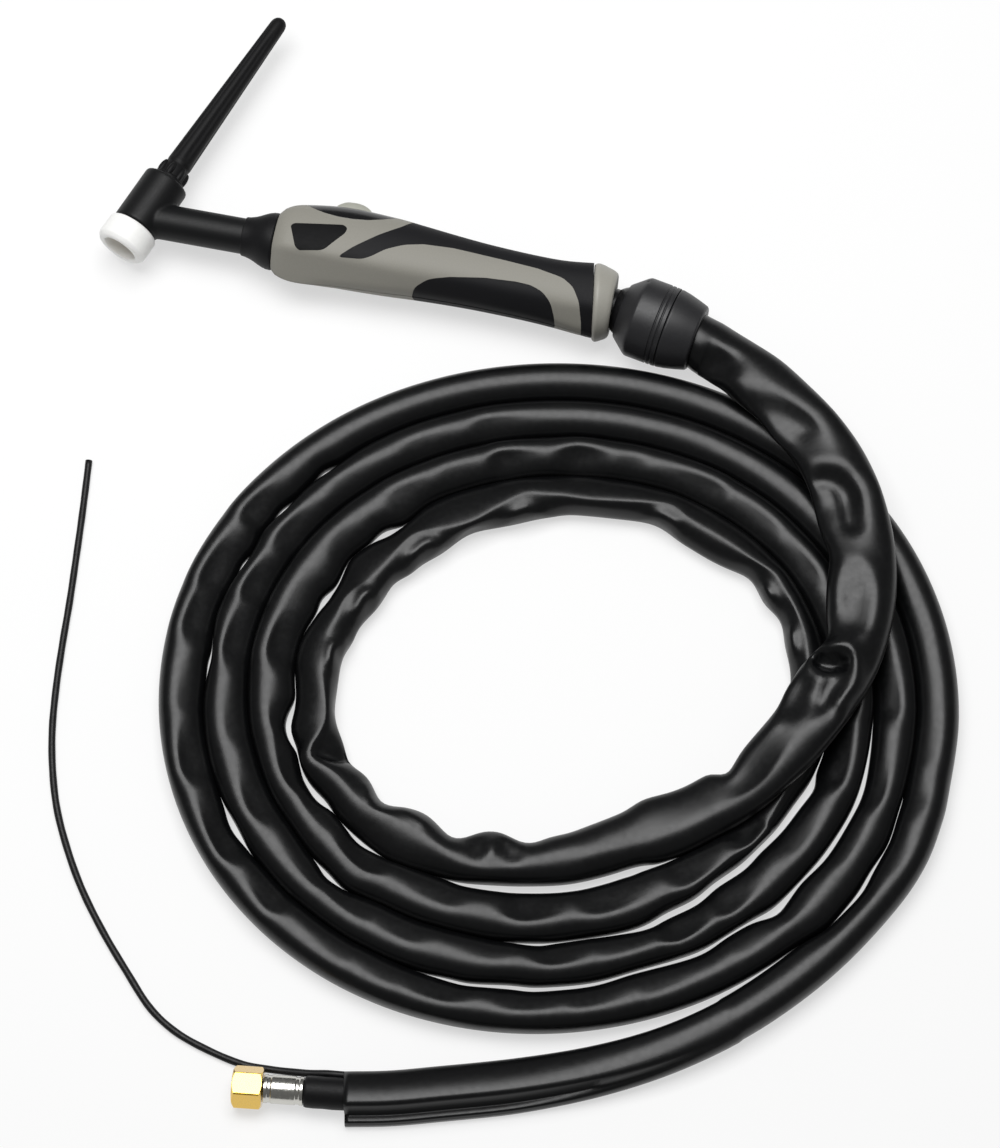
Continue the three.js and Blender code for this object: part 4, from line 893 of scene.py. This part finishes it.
rear_grip_outline = [
    [31, -8.6], [37, -2.9], [47, 5.3], [56.6, 12.5], [61, 18], [64, 30], [165, 30], [165, -30],
    [147.4, -30], [146.6, -22], [145.4, -16], [142.8, -9], [139, -2.8], [133.5, .9],
    [121.6, 3.5], [107, 4.8], [92, 5.7], [82, 6.2], [68.3, 5.2], [59.8, 3], [52.1, -.8],
    [46.4, -5.4], [42.1, -7.6]]
palm_grip_outline = [
    [66.5, -30], [65.4, -18], [67.4, -13.4], [73.5, -10.1], [83, -7.8], [99, -5.4], [113, -4.7],
    [120, -5.1], [125.8, -7.2], [130.4, -11.2], [133.2, -15.8], [134.6, -21], [135.2, -30]]
plate_outline = [[6.9, 2.4], [8.4, 3.8], [30.6, 7.4], [32.8, 6], [32.2, 3.2], [24.8, -6],
                 [22.6, -7.2], [13, -8.8], [11, -7.4]]
lens_outline = [[8, 30], [8.6, 19], [14, 14.6], [20, 12.4], [27, 11.4], [34, 11.5], [41, 12.6],
                [47, 14.8], [52, 17.6], [55, 21], [56, 30]]
screw_spots = [[16, -11.8], [54, -10], [130.8, -8.5]]
screw_hole = 2.3


def smooth_rows(rows):
    """A table of sizes as a dense smooth curve for interpolation."""
    line = smooth_line(np.array([[r[0] * 100, r[1]] for r in rows]), 0.25)
    order = np.argsort(line[:, 0])
    return line[order, 0] / 100, line[order, 1]


edges_smooth = [smooth_rows(rows) for rows in (top_edge, bottom_edge, side_face)]


def skin(x, angle):
    """The handle's outside: the point at a distance along and an angle from the near side
    towards the back. The belly's flank is a flat facet below a soft crease."""
    x, angle = np.broadcast_arrays(np.asarray(x, float), np.asarray(angle, float))
    top, bottom, half = [np.interp(x / handle_length, *edge) for edge in edges_smooth]
    c, s = np.cos(angle), np.sin(angle)
    y = np.where(s > 0, top, bottom) * np.sign(s) * np.abs(s) ** (2 / fullness)
    z = half * np.sign(c) * np.abs(c) ** (2 / fullness)
    crease = np.interp(x, *np.transpose(crease_height))
    at_crease = half * (1 - np.clip(np.abs(crease) / bottom, 0, 0.98) ** fullness) ** (
        1 / fullness)
    limit = flank_out * at_crease + flank_down * np.abs(crease) - flank_inset
    over = np.clip((flank_out * np.abs(z) - flank_down * y) / limit, 1e-3, None)
    scale = np.where(y < 0, (1 + over ** crease_sharpness) ** (-1 / crease_sharpness), 1)
    return np.stack([x, y * scale, z * scale], axis=-1)


def angle_at(x, y):
    """The angle where the skin passes height y at distance x; past the ends it carries on."""
    tries = np.linspace(-math.pi / 2, math.pi / 2, 361)
    out = []
    for a, b in zip(np.atleast_1d(x), np.atleast_1d(y)):
        heights = skin(a, tries)[:, 1]
        if b > heights[-1]:
            out.append(math.pi / 2 + (b - heights[-1]) / unroll)
        elif b < heights[0]:
            out.append(-math.pi / 2 - (heights[0] - b) / unroll)
        else:
            out.append(float(np.interp(b, heights, tries)))
    return np.array(out)


def unrolled(outline, step=1.0, corner=2.2):
    """An outline in side view, rounded a little, as a fine loop on the unrolled skin."""
    p = np.array(rounded([*outline, outline[0], outline[1]], corner)[1:-1])
    p = p[np.concatenate([[True], np.linalg.norm(np.diff(p, axis=0), axis=1) > 1e-3])]
    run = distance_along(p)
    places = np.linspace(0, run[-1], max(8, int(run[-1] / step)))
    x, y = np.interp(places, run, p[:, 0]), np.interp(places, run, p[:, 1])
    return np.column_stack([x, angle_at(np.clip(x, 0, handle_length + 7), y) * unroll])


def inside_loop(points, loop):
    """Which points lie in a closed loop."""
    x, y = points[:, 0], points[:, 1]
    hit = np.zeros(len(points), bool)
    for (x1, y1), (x2, y2) in zip(loop, np.roll(loop, -1, axis=0)):
        if y1 == y2:
            continue
        hit ^= ((y1 > y) != (y2 > y)) & (x < (x2 - x1) * (y - y1) / (y2 - y1) + x1)
    return hit


def rear_limit(angle, inset=0.05):
    """Where the skin ends against the rear ring's leaning face."""
    x = np.full_like(angle, handle_length)
    for _ in range(8):
        x = handle_length - face_lean * skin(x, angle)[..., 1] - inset
    return x


def patches(boundary, loops, spacing=1.4):
    """The unrolled skin as triangles: points, triangles and the middle of each triangle."""
    seeds, edges = [], []
    for loop in [boundary, *loops]:
        first = len(seeds)
        seeds += [tuple(q) for q in loop]
        edges += [(first + i, first + (i + 1) % len(loop)) for i in range(len(loop))]
    fixed = np.array(seeds)
    low, high = boundary.min(axis=0), boundary.max(axis=0)
    grid = np.stack(np.meshgrid(np.arange(low[0] + spacing / 2, high[0], spacing),
                                np.arange(low[1] + spacing / 2, high[1], spacing)),
                    axis=-1).reshape(-1, 2)
    clear = np.array([np.abs(fixed - q).max(axis=1).min() > 0.62 * spacing for q in grid])
    seeds += [tuple(q) for q in grid[clear & inside_loop(grid, boundary)]]
    result = delaunay_2d_cdt([Vector(q) for q in seeds], edges, [], 0, 1e-5)
    flat = np.array([tuple(v) for v in result[0]])
    triangles = np.array([t for t in result[2] if len(t) == 3])
    return flat, triangles, flat[triangles].mean(axis=1)


def inlay_piece(name, flat, triangles, depth, material, mirrored=False):
    """A piece of the skin with thickness and eased rims."""
    used = np.unique(triangles)
    place = -np.ones(len(flat), int)
    place[used] = np.arange(len(used))
    points = skin(flat[used, 0], flat[used, 1] / unroll)
    if mirrored:
        points = points * [1, 1, -1]
    faces = place[triangles]
    a, b, c = points[faces[:, 0]], points[faces[:, 1]], points[faces[:, 2]]
    middle = (a + b + c) / 3
    outside = (np.cross(b - a, c - a) * (middle * [0, 1, 1])).sum(axis=1) < 0
    faces[outside] = faces[outside][:, ::-1]
    obj = mesh_piece(name, on_torch(points), faces.tolist(), material)
    wall = obj.modifiers.new("wall", "SOLIDIFY")
    wall.thickness, wall.offset, wall.use_even_offset = depth * mm, -1, False
    rim = obj.modifiers.new("rim", "BEVEL")
    rim.width, rim.segments, rim.limit_method = rim_ease * mm, 2, "ANGLE"
    rim.angle_limit, rim.harden_normals = math.radians(55), True
    return obj


parting = 0.12
half_turn = math.pi / 2 * unroll - parting
rear_angles = np.linspace(-half_turn, half_turn, 48) / unroll
rear_line = np.column_stack([rear_limit(rear_angles), rear_angles * unroll])
along_side = np.linspace(0, 1, 110)
side_line = np.full_like(along_side, half_turn)
bottom_line = np.column_stack([along_side * rear_line[0, 0], -side_line])
top_line = np.column_stack([along_side[::-1] * rear_line[-1, 0], side_line])
front_angles = np.linspace(half_turn, -half_turn, 42)[1:-1]
front_line = np.column_stack([np.zeros_like(front_angles), front_angles])
half_boundary = np.vstack([bottom_line[:-1], rear_line, top_line[1:], front_line])
rear_loop, palm_loop = unrolled(rear_grip_outline), unrolled(palm_grip_outline)
plate_loop, lens_loop = unrolled(plate_outline, 0.8), unrolled(lens_outline)

# Glass-filled nylon, moulded in warm grey: an even, slightly grainy satin.
grey_nylon = finish("grey_glass_filled_nylon", grains=1.6, dark="#85837b", light="#908e86",
                    rough=(0.46, 0.58), bump=0.12, relief=0.25, IOR=1.52, Specular_IOR_Level=0.25)
# Thermoplastic elastomer, moulded in: black, velvety, darker than the shell beside it.
soft_grip = finish("soft_touch_elastomer", grains=1.9, dark="#131315", light="#1e1e20",
                   rough=(0.5, 0.64), bump=0.2, relief=0.2, IOR=1.5, Specular_IOR_Level=0.14)
# ABS, moulded in a polished mould: the one glossy black on the handle.
gloss_black = finish("gloss_black_abs", grains=0.26, dark="#0b0b0d", light="#121214",
                     rough=(0.16, 0.24), bump=0.03, relief=0.2, IOR=1.53, Specular_IOR_Level=0.35)
# Polyester film: flat matt black, so the plate reads darker than the grips.
plate_film = finish("matt_black_film", grains=0.9, dark="#08080a", light="#0f0f10",
                    rough=(0.5, 0.6), bump=0.05, relief=0.2, IOR=1.5, Specular_IOR_Level=0.1)

for side, mirrored in (("near", False), ("far", True)):
    holes = []
    if mirrored:
        turn = np.linspace(0, 2 * math.pi, 20, endpoint=False)
        for x, y in screw_spots:
            rim_x, rim_y = x + screw_hole * np.cos(turn), y + screw_hole * np.sin(turn)
            holes.append(np.column_stack([rim_x, angle_at(rim_x, rim_y) * unroll]))
    loops = [rear_loop, palm_loop, lens_loop] + ([] if mirrored else [plate_loop]) + holes
    flat, triangles, middles = patches(half_boundary, loops)
    within = inside_loop(middles, half_boundary)
    lens = inside_loop(middles, lens_loop)
    rear = inside_loop(middles, rear_loop) & ~lens & within
    palm = inside_loop(middles, palm_loop) & within
    taken = lens | rear | palm
    if not mirrored:
        plate_area = inside_loop(middles, plate_loop)
        taken |= plate_area
        plate = inlay_piece("blank_plate", flat, triangles[plate_area & within], plate_depth,
                            plate_film)
        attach(plate, "handle")
        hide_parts("name_plate")
    for hole in holes:
        taken |= inside_loop(middles, hole)
    shell = inlay_piece("shell_" + side, flat, triangles[within & ~taken],
                        far_wall if mirrored else near_wall, grey_nylon, mirrored)
    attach(shell, "handle")
    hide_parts("handle_shell_" + side)
    for name, area in (("rear_grip_", rear), ("palm_grip_", palm)):
        grip = inlay_piece(name + side + "_soft", flat, triangles[area], grip_depth, soft_grip,
                           mirrored)
        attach(grip, "handle")
        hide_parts(name + side)

# The lens lies over the back of both halves, with an opening for the trigger button.
button_start, button_end, button_half, button_floor = 23.5, 41.0, 5.7, 17.0
button_gap = 0.3


def over_the_back(x, angle):
    """A loop that goes one way at an angle on the near side and back on the far side."""
    return np.vstack([np.column_stack([x, angle * unroll]),
                      np.column_stack([x, (math.pi - angle) * unroll])[::-1]])


near_half = lens_loop[lens_loop[:, 1] < half_turn]
near_half = near_half[np.argsort(near_half[:, 0])]
lens_edge = over_the_back(near_half[:, 0], near_half[:, 1] / unroll)
hole_x = np.linspace(button_start - button_gap, button_end + button_gap, 20)
tries = np.linspace(math.pi / 4, math.pi / 2, 200)
hole_angle = np.array([np.interp(-(button_half + button_gap), -skin(x, tries)[:, 2], tries)
                       for x in hole_x])
button_hole = over_the_back(hole_x, hole_angle)
flat, triangles, middles = patches(lens_edge, [button_hole], spacing=1.2)
lens = inlay_piece("trigger_lens", flat, triangles[inside_loop(middles, lens_edge)
                                                   & ~inside_loop(middles, button_hole)],
                   grip_depth, gloss_black)
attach(lens, "handle")
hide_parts("trigger_surround")

# ---- trigger button ----
# Grey moulded nylon button of the trigger switch, with a rounded crown. It stands proud of the
# lens, slides in its opening and presses the switch's plunger.
crown = [[23.5, 19.4], [24.1, 21.6], [25.2, 22.9], [28, 24.6], [31, 25], [34, 25], [37, 24.2],
         [39.6, 22.6], [40.6, 21.2], [41, 19.4]]
crown_rows, crown_columns, crown_fullness = 40, 25, 4.5
crown_line = smooth_line(crown, 0.5)
order = np.argsort(crown_line[:, 0])
rows = np.linspace(button_start, button_end, crown_rows)
columns = np.sin(np.linspace(-math.pi / 2, math.pi / 2, crown_columns))
crown_y = np.interp(rows, crown_line[order, 0], crown_line[order, 1])
vertices = [[x, button_floor + (y - button_floor)
             * (1 - abs(w) ** crown_fullness) ** (1 / crown_fullness),
             w * button_half] for x, y in zip(rows, crown_y) for w in columns]
grid = np.arange(len(vertices)).reshape(crown_rows, crown_columns)
faces = np.stack([grid[:-1, :-1], grid[1:, :-1], grid[1:, 1:], grid[:-1, 1:]],
                 axis=-1).reshape(-1, 4).tolist()
low = len(vertices) + np.arange(2 * crown_rows).reshape(crown_rows, 2)
vertices += [[x, button_floor - 0.01, w * button_half] for x in rows for w in (-1, 1)]
faces += [[low[i, 0], low[i + 1, 0], low[i + 1, 1], low[i, 1]] for i in range(crown_rows - 1)]
for i in range(crown_rows - 1):
    faces.append([grid[i, 0], low[i, 0], low[i + 1, 0], grid[i + 1, 0]])
    faces.append([grid[i, -1], grid[i + 1, -1], low[i + 1, 1], low[i, 1]])
faces.append([*grid[0], low[0, 1], low[0, 0]])
faces.append([*grid[-1][::-1], low[-1, 0], low[-1, 1]])
faces = [[int(v) for v in f] for f in faces]
# Nylon, moulded: a lighter grey than the shell, with soft highlights.
trigger_nylon = finish("light_grey_nylon", grains=1.5, dark="#9a9a90", light="#a6a69c",
                       rough=(0.42, 0.54), bump=0.1, relief=0.2, IOR=1.52)
button = face_out(mesh_piece("button", on_torch(vertices), faces, trigger_nylon))
button.data.shade_smooth()
button.data.set_sharp_from_angle(angle=math.radians(50))
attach(button, "trigger")
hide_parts("trigger_button")

# ---- shell screws ----
# Three small zinc-plated steel cross-head screws. They draw the two halves together from the
# far side, their heads sunk in round holes.
# Steel, bright zinc plated: pale metal with a slight haze.
zinc = finish("zinc_plated_steel", grains=2.2, dark="#a9a9a6", light="#c4c4c0", rough=(0.26, 0.4),
              bump=0.1, relief=0.1, Metallic=1.0)
slot_length, slot_width, slot_depth = 2.6 * mm, 0.6 * mm, 1.4 * mm
head_height, shank_length = 2.2 * mm, 14.0 * mm
screw_depth = -6.8
screw_tree, given, screw_sizes = form_tree("shell_screws", (
    ("Head Radius", "Float", 1.9 * mm), ("Head Height", "Float", head_height),
    ("Shank Radius", "Float", 1.2 * mm), ("Shank Length", "Float", shank_length),
    ("Material", "Material", zinc)), on_points=True)
head_form = add_node(screw_tree, "GeometryNodeMeshCylinder", [
    (given.outputs["Head Radius"], "Radius"), (given.outputs["Head Height"], "Depth")],
    Vertices=28)
shank_form = add_node(screw_tree, "GeometryNodeMeshCylinder", [
    (given.outputs["Shank Radius"], "Radius"), (given.outputs["Shank Length"], "Depth")],
    Vertices=20)
shank_moved = add_node(screw_tree, "GeometryNodeTransform", [(shank_form.outputs[0], "Geometry")],
                       Translation=(0, 0, (head_height + shank_length) / 2))
slots = []
for size in ((slot_length, slot_width, slot_depth), (slot_width, slot_length, slot_depth)):
    bar = add_node(screw_tree, "GeometryNodeMeshCube", Size=size)
    slots.append(add_node(screw_tree, "GeometryNodeTransform", [(bar.outputs[0], "Geometry")],
                          Translation=(0, 0, -head_height / 2)))
recess = add_node(screw_tree, "GeometryNodeMeshBoolean", [(head_form.outputs[0], "Mesh 1")],
                  operation="DIFFERENCE")
for slot_form in slots:
    screw_tree.links.new(slot_form.outputs[0], recess.inputs["Mesh 2"])
whole = add_node(screw_tree, "GeometryNodeJoinGeometry")
screw_tree.links.new(recess.outputs[0], whole.inputs[0])
screw_tree.links.new(shank_moved.outputs[0], whole.inputs[0])
placed = add_node(screw_tree, "GeometryNodeInstanceOnPoints", [
    (given.outputs["Geometry"], "Points"), (whole.outputs[0], "Instance")])
end_tree(screw_tree, given, placed)
spots = mesh_piece("screw_spots", on_torch([[x, y, screw_depth] for x, y in screw_spots]), [])
screws = grown("shell_screws", screw_tree, screw_sizes, spots)
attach(screws, "handle")
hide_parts("shell_screw_1", "shell_screw_2", "shell_screw_3")

# ---- rear ring and ball ----
# Light grey moulded ring that closes the handle's leaning face, wider at the back than at the
# belly, pushed on over the stem of the black ball joint.
# Nylon, moulded: a shade between the shell and the button.
ring_nylon = finish("light_grey_ring_nylon", grains=1.5, dark="#939189", light="#9f9d95",
                    rough=(0.42, 0.54), bump=0.1, relief=0.2, IOR=1.52)
ring_end = 9.9
bore_free, bore_fade = 13, 3  # the bore follows the stem down, the outside doesn't
rear_ring = turned("rear_ring", [
    (0.15, 9.8), (0.15, 16.6), (0.9, 17.5), (2.2, 17.9), (4.2, 17.4), (8.2, 15.8), (9.5, 14.8),
    (ring_end, 14.0), (ring_end, 13.4), (7.9, 9.8)], rear_origin, along_x, ring_nylon, sides=96,
    ease_edges=0.7)
for corner in rear_ring.data.vertices:
    place, height, lift = np.array(corner.co) / mm - torch_shift - [handle_length, 0, axis_height]
    radius = math.hypot(height - rear_origin[1], lift)
    corner.co.x -= face_lean * height * (1 - min(place / ring_end, 1)) * mm
    corner.co.y -= stem_drop * place * min(max((bore_free - radius) / bore_fade, 0), 1) * mm
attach(rear_ring, "handle")
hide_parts("handle_rear_ring")
ball_radius, ball_reach, stem_radius, ball_bore = 12.5, 19.6, 9.2, 7.9
# Acetal, turned and polished by use: black with a small clear highlight.
joint_black = finish("gloss_black_acetal", grains=0.8, dark="#0c0c0d", light="#151517",
                     rough=(0.3, 0.4), bump=0.06, relief=0.2, IOR=1.48, Specular_IOR_Level=0.35)
neck_join = -math.sqrt(ball_radius ** 2 - stem_radius ** 2)
arc = [(ball_reach + x, math.sqrt(ball_radius ** 2 - x * x)) for x in
       np.linspace(neck_join, 8, 26)]
ball = turned("ball_stem", [
    (-12, ball_bore), (-12, 11), (-10.4, 11), (-10.4, 9.5), (7.4, 9.5), (7.8, stem_radius),
    *arc, (ball_reach + 8, ball_bore + 1.4), (ball_reach + 2, ball_bore)],
    rear_origin, rear_run, joint_black, sides=96, ease_edges=0.25)
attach(ball, "handle")
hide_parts("knuckle_ball")

# ---- knuckle: seat ring, shell and clamp ----
# The ball turns in a black shell, held by a grey seat ring. The clamp screws into the shell
# against the seat ring and grips the sheath's end.
knuckle_origin = np.array([*ball_centre, 0.0])
knuckle_axis = np.array([*knuckle_run, 0.0])
seat_radius = ball_radius + 0.3
knuckle_radius, knuckle_bore, bore_gap = 18.8, 16.0, 0.3
seat_arc = [(x, math.sqrt(seat_radius ** 2 - x * x)) for x in np.linspace(8.5, 1.1, 10)]
seat = turned("seat_ring", [(1.1, knuckle_bore), (8.5, knuckle_bore), *seat_arc],
              knuckle_origin, knuckle_axis, ring_nylon, sides=96, ease_edges=0.2)
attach(seat, "seat")
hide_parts("ball_seat_ring")
notch_place, notch_angle = 2.6, math.radians(40)
notch_depth, notch_length, notch_width = 0.55, 0.55, 1.3


def notched(place, radius, turn):
    """The moulding's little witness notch on the shell's shoulder."""
    near = np.exp(-((place - notch_place) / notch_length) ** 2) if radius > 17 else 0.0
    off = (turn - notch_angle + math.pi) % (2 * math.pi) - math.pi
    return radius - notch_depth * near * np.exp(-(off * radius / notch_width) ** 2)


seat_back = [(x, math.sqrt(seat_radius ** 2 - x * x)) for x in np.linspace(0.6, -4.6, 8)]
# Nylon, moulded: charcoal satin, lighter than the sheath.
knuckle_skin = finish("satin_black_nylon", grains=1.2, dark="#1a1a1c", light="#252527",
                      rough=(0.4, 0.5), bump=0.08, relief=0.2, IOR=1.52, Specular_IOR_Level=0.45)
body_rows = [(float(x), knuckle_radius) for x in np.arange(3.6, 12.4, 0.6)]
knuckle = turned("knuckle_body", [
    (-5, 11.8), (-5, 12.5), (-4.4, 13.1), (1.2, 17.7), (2.0, 18.3), (2.8, 18.7), *body_rows,
    (12.5, knuckle_radius), (12.75, 18.35), (13.15, 18.35), (13.4, 18.75), (14.6, 18.75),
    (14.85, 18.3), (15.25, 18.3), (15.5, 18.7), (17.2, 18.65),
    (17.2, knuckle_bore + bore_gap), (0.8, knuckle_bore + bore_gap), *seat_back],
    knuckle_origin, knuckle_axis, knuckle_skin, sides=160, ease_edges=0.22, shape=notched)
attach(knuckle, "lead")
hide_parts("knuckle_shell")
clamp = turned("clamp_sleeve", [
    (8.8, 12.6), (8.8, knuckle_bore), (17.5, knuckle_bore), (17.5, 18.3), (18.2, 18.55),
    (22, 17.9), (27, 16.6), (31, 15.4), (clamp_end, 14.6), (clamp_end, 8.6), (24.7, 8.6),
    (21.7, 12.6)],
    knuckle_origin, knuckle_axis, knuckle_skin, sides=128, ease_edges=0.35)
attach(clamp, "lead")
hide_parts("sheath_clamp")

# ---- hose end, ferrule, nipple and nut ----
# The hose comes out of the sheath's cut end and is crimped to a brass nipple by a plated
# ferrule. A brass union nut turns freely on the nipple.
fitting_turn = math.radians(187)
fitting_run = np.array([math.cos(fitting_turn), math.sin(fitting_turn), 0.0])
fitting_origin = np.array([112.5, -378.6, 8.2 - axis_height])
# Rubber hose, extruded: matt black.
hose_rubber = finish("black_hose_rubber", grains=1.4, dark="#0c0c0d", light="#161617",
                     rough=(0.42, 0.58), bump=0.15, relief=0.2, IOR=1.5, Specular_IOR_Level=0.16)
hose = turned("hose_stub", [(-9, 4.9), (-9, 6.5), (-4, 6.7), (1.2, 6.85), (5, 6.95), (9, 6.8),
                            (13, 6.9), (16.2, 6.75), (17.2, 6.4), (17.2, 4.9)],
              fitting_origin, fitting_run, hose_rubber, sides=64, ease_edges=0.4)
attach(hose, "lead")
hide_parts("hose_end")
# Steel, bright nickel plated: pale mirror with sharp light and dark bands.
bright_steel = finish("bright_nickel_plate", grains=0.9, dark="#bdbcb6", light="#d2d1cb",
                      rough=(0.16, 0.26), bump=0.06, relief=0.2, Metallic=1.0)
ferrule = turned("ferrule", [
    (9.5, 3.0), (9.5, 4.6), (17.5, 4.6), (17.5, 6.1), (19.0, 6.15), (19.4, 5.75), (20.6, 5.75),
    (21.0, 6.1), (31.0, 6.1), (31.4, 5.75), (32.6, 5.75), (33.0, 6.1), (34.5, 6.0),
    (34.5, 3.0)], fitting_origin, fitting_run, bright_steel, sides=72, ease_edges=0.35)
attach(ferrule, "lead")
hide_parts("crimp_ferrule")
# Brass, machined and lacquered: rich yellow under a clear coat.
brass = finish("lacquered_brass", grains=0.7, dark="#d6a816", light="#e0b82c", rough=(0.2, 0.32),
               bump=0.05, relief=0.2, Metallic=1.0, Coat_Weight=1.0, Coat_IOR=1.9,
               Coat_Roughness=0.12)
nipple = turned("nipple", [
    (17.5, 1.8), (17.5, 2.7), (34.55, 2.7), (34.8, 4.2), (38.5, 4.2), (38.5, 6.0), (40.5, 6.0),
    (44.8, 3.5), (45.4, 1.8)], fitting_origin, fitting_run, brass, sides=64, ease_edges=0.25)
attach(nipple, "lead")
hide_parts("hose_nipple")
nut_start, nut_end, nut_flats = 34.8, 47.8, 16.0
corner_radius = nut_flats / math.sqrt(3)
corner_trim = 0.985


def six_sided(place, radius, turn):
    """A hexagon across flats of twice the radius, its flats lying up and down."""
    folded = (turn + math.pi / 6) % (math.pi / 3) - math.pi / 6
    return np.minimum(radius / np.cos(folded), corner_radius * corner_trim)


nut = turned("nut_form", [(nut_start, 0), (nut_start, nut_flats / 2), (nut_end, nut_flats / 2),
                          (nut_end, 0)], fitting_origin, fitting_run, brass, sides=144,
             ease_edges=0.1, shape=six_sided)
bevel_form = turned("bevels", [
    (nut_start - 0.01, 0), (nut_start - 0.01, nut_flats / 2 - 0.2),
    (nut_start + 1.3, corner_radius + 0.1), (nut_end - 1.5, corner_radius + 0.1),
    (nut_end + 0.01, nut_flats / 2 - 0.5), (nut_end + 0.01, 0)], fitting_origin, fitting_run,
    brass, sides=96, ease_edges=0.5)
carve(nut, bevel_form, "INTERSECT")
carve(nut, turned("bore", [(nut_start - 1, 0), (nut_start - 1, 4.5), (nut_start + 3.4, 4.5),
                           (nut_start + 3.4, 6.3), (nut_end + 1, 6.3), (nut_end + 1, 0)],
                  fitting_origin, fitting_run, brass, sides=64, ease_edges=0.05))
nut.name = "hex_nut"
nut.data.shade_smooth()
nut.data.set_sharp_from_angle(angle=math.radians(24))
soften = nut.modifiers.new("rim", "BEVEL")
soften.width, soften.segments, soften.limit_method = 0.3 * mm, 2, "ANGLE"
soften.angle_limit, soften.harden_normals = math.radians(28), True
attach(nut, "nut")
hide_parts("union_nut")

# ---- inside the torch ----
# The brass torch body, its O-ring, the hose with its copper conductor, the crimp ring and the
# switch: they keep the frame's own forms, each in its own material.
# Copper wire, drawn: warm metal with a soft haze.
copper = finish("drawn_copper", grains=1.2, dark="#b06a33", light="#c47f48", rough=(0.3, 0.45),
                bump=0.1, relief=1, Metallic=1.0)
# Nitrile rubber, moulded: matt black.
nitrile = finish("black_nitrile", grains=2, dark="#0d0d0e", light="#171718", rough=(0.45, 0.6),
                 bump=0.15, relief=0.1, IOR=1.5)
# Moulded plastic in dark red, as small switches and their wires come.
red_pvc = finish("red_moulded_plastic", grains=1.5, dark="#701c19", light="#85221e",
                 rough=(0.42, 0.55), bump=0.1, relief=0.2, IOR=1.5)
for node, material in (("torch_body", brass), ("cap_o_ring", nitrile), ("handle_hose", hose_rubber),
                       ("knuckle_hose", hose_rubber), ("copper_conductor", copper),
                       ("hose_crimp_ring", bright_steel), ("switch_spring", zinc),
                       ("switch_wire", red_pvc), ("microswitch", red_pvc),
                       ("switch_plunger", head_moulding)):
    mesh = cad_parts[node].data
    if mesh.materials:
        for i in range(len(mesh.materials)):
            mesh.materials[i] = material
    else:
        mesh.materials.append(material)

# The trigger's return spring is shown by its own copy of the frame's spring, carried with the
# handle.
spring = bpy.data.objects.new("return_spring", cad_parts["switch_spring"].data.copy())
bpy.context.collection.objects.link(spring)
face_out(spring, merge=1e-6).data.shade_smooth()
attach(spring, "handle")
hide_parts("switch_spring")
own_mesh(spring)

# ---- table and light ----
# A plain table of matt white paper, and one broad soft lamp above and to the left of the torch.
# The room adds a faint even light.
table_mesh = bmesh.new()
bmesh.ops.create_grid(table_mesh, x_segments=1, y_segments=1, size=6)
table = mesh_piece("table", [], [])
table_mesh.to_mesh(table.data)
table_mesh.free()
# Matt paper that also glows a little to the eye, as a lit background sheet does.
white = bpy.data.materials.new("white_paper")
white.use_nodes = True
tree = white.node_tree
surface = tree.nodes["Principled BSDF"]
for key, value in (("Base Color", linear("#f4f4f4")), ("Roughness", 0.9),
                   ("Specular IOR Level", 0.2)):
    surface.inputs[key].default_value = value
path = add_node(tree, "ShaderNodeLightPath")
seen = add_node(tree, "ShaderNodeMath", [(path.outputs["Is Camera Ray"], 0),
                                         (path.outputs["Is Glossy Ray"], 1)], operation="MAXIMUM")
seen = add_node(tree, "ShaderNodeMath", [(seen.outputs[0], 0),
                                         (path.outputs["Is Transmission Ray"], 1)],
                operation="MAXIMUM")
part = add_node(tree, "ShaderNodeMath", [(seen.outputs[0], 0)], operation="MULTIPLY", _1=0.6)
glow = add_node(tree, "ShaderNodeEmission", Color=(1, 1, 1, 1), Strength=1.0)
blend = add_node(tree, "ShaderNodeMixShader", [(part.outputs[0], 0), (surface.outputs[0], 1),
                                               (glow.outputs[0], 2)])
tree.links.new(blend.outputs[0], tree.nodes["Material Output"].inputs["Surface"])
table.data.materials.append(white)

lamp_data = bpy.data.lights.new("soft_box", "AREA")
lamp_data.shape = "RECTANGLE"
lamp_data.size = 1.25
lamp_data.size_y = 0.95
lamp_data.energy = 26
lamp = bpy.data.objects.new("soft_box", lamp_data)
lamp_place, lamp_aim = Vector((-0.12, 0.1, 1.5)), Vector((0.07, -0.17, 0))
lamp.location = lamp_place
lamp.rotation_euler = (lamp_place - lamp_aim).to_track_quat("Z", "Y").to_euler()
bpy.context.collection.objects.link(lamp)
world = bpy.context.scene.world or bpy.data.worlds.new("room")
bpy.context.scene.world = world
world.use_nodes = True
background = world.node_tree.nodes["Background"]
background.inputs["Color"].default_value = (1, 1, 1, 1)
background.inputs["Strength"].default_value = 0.17
bpy.context.scene.view_settings.view_transform = "Standard"
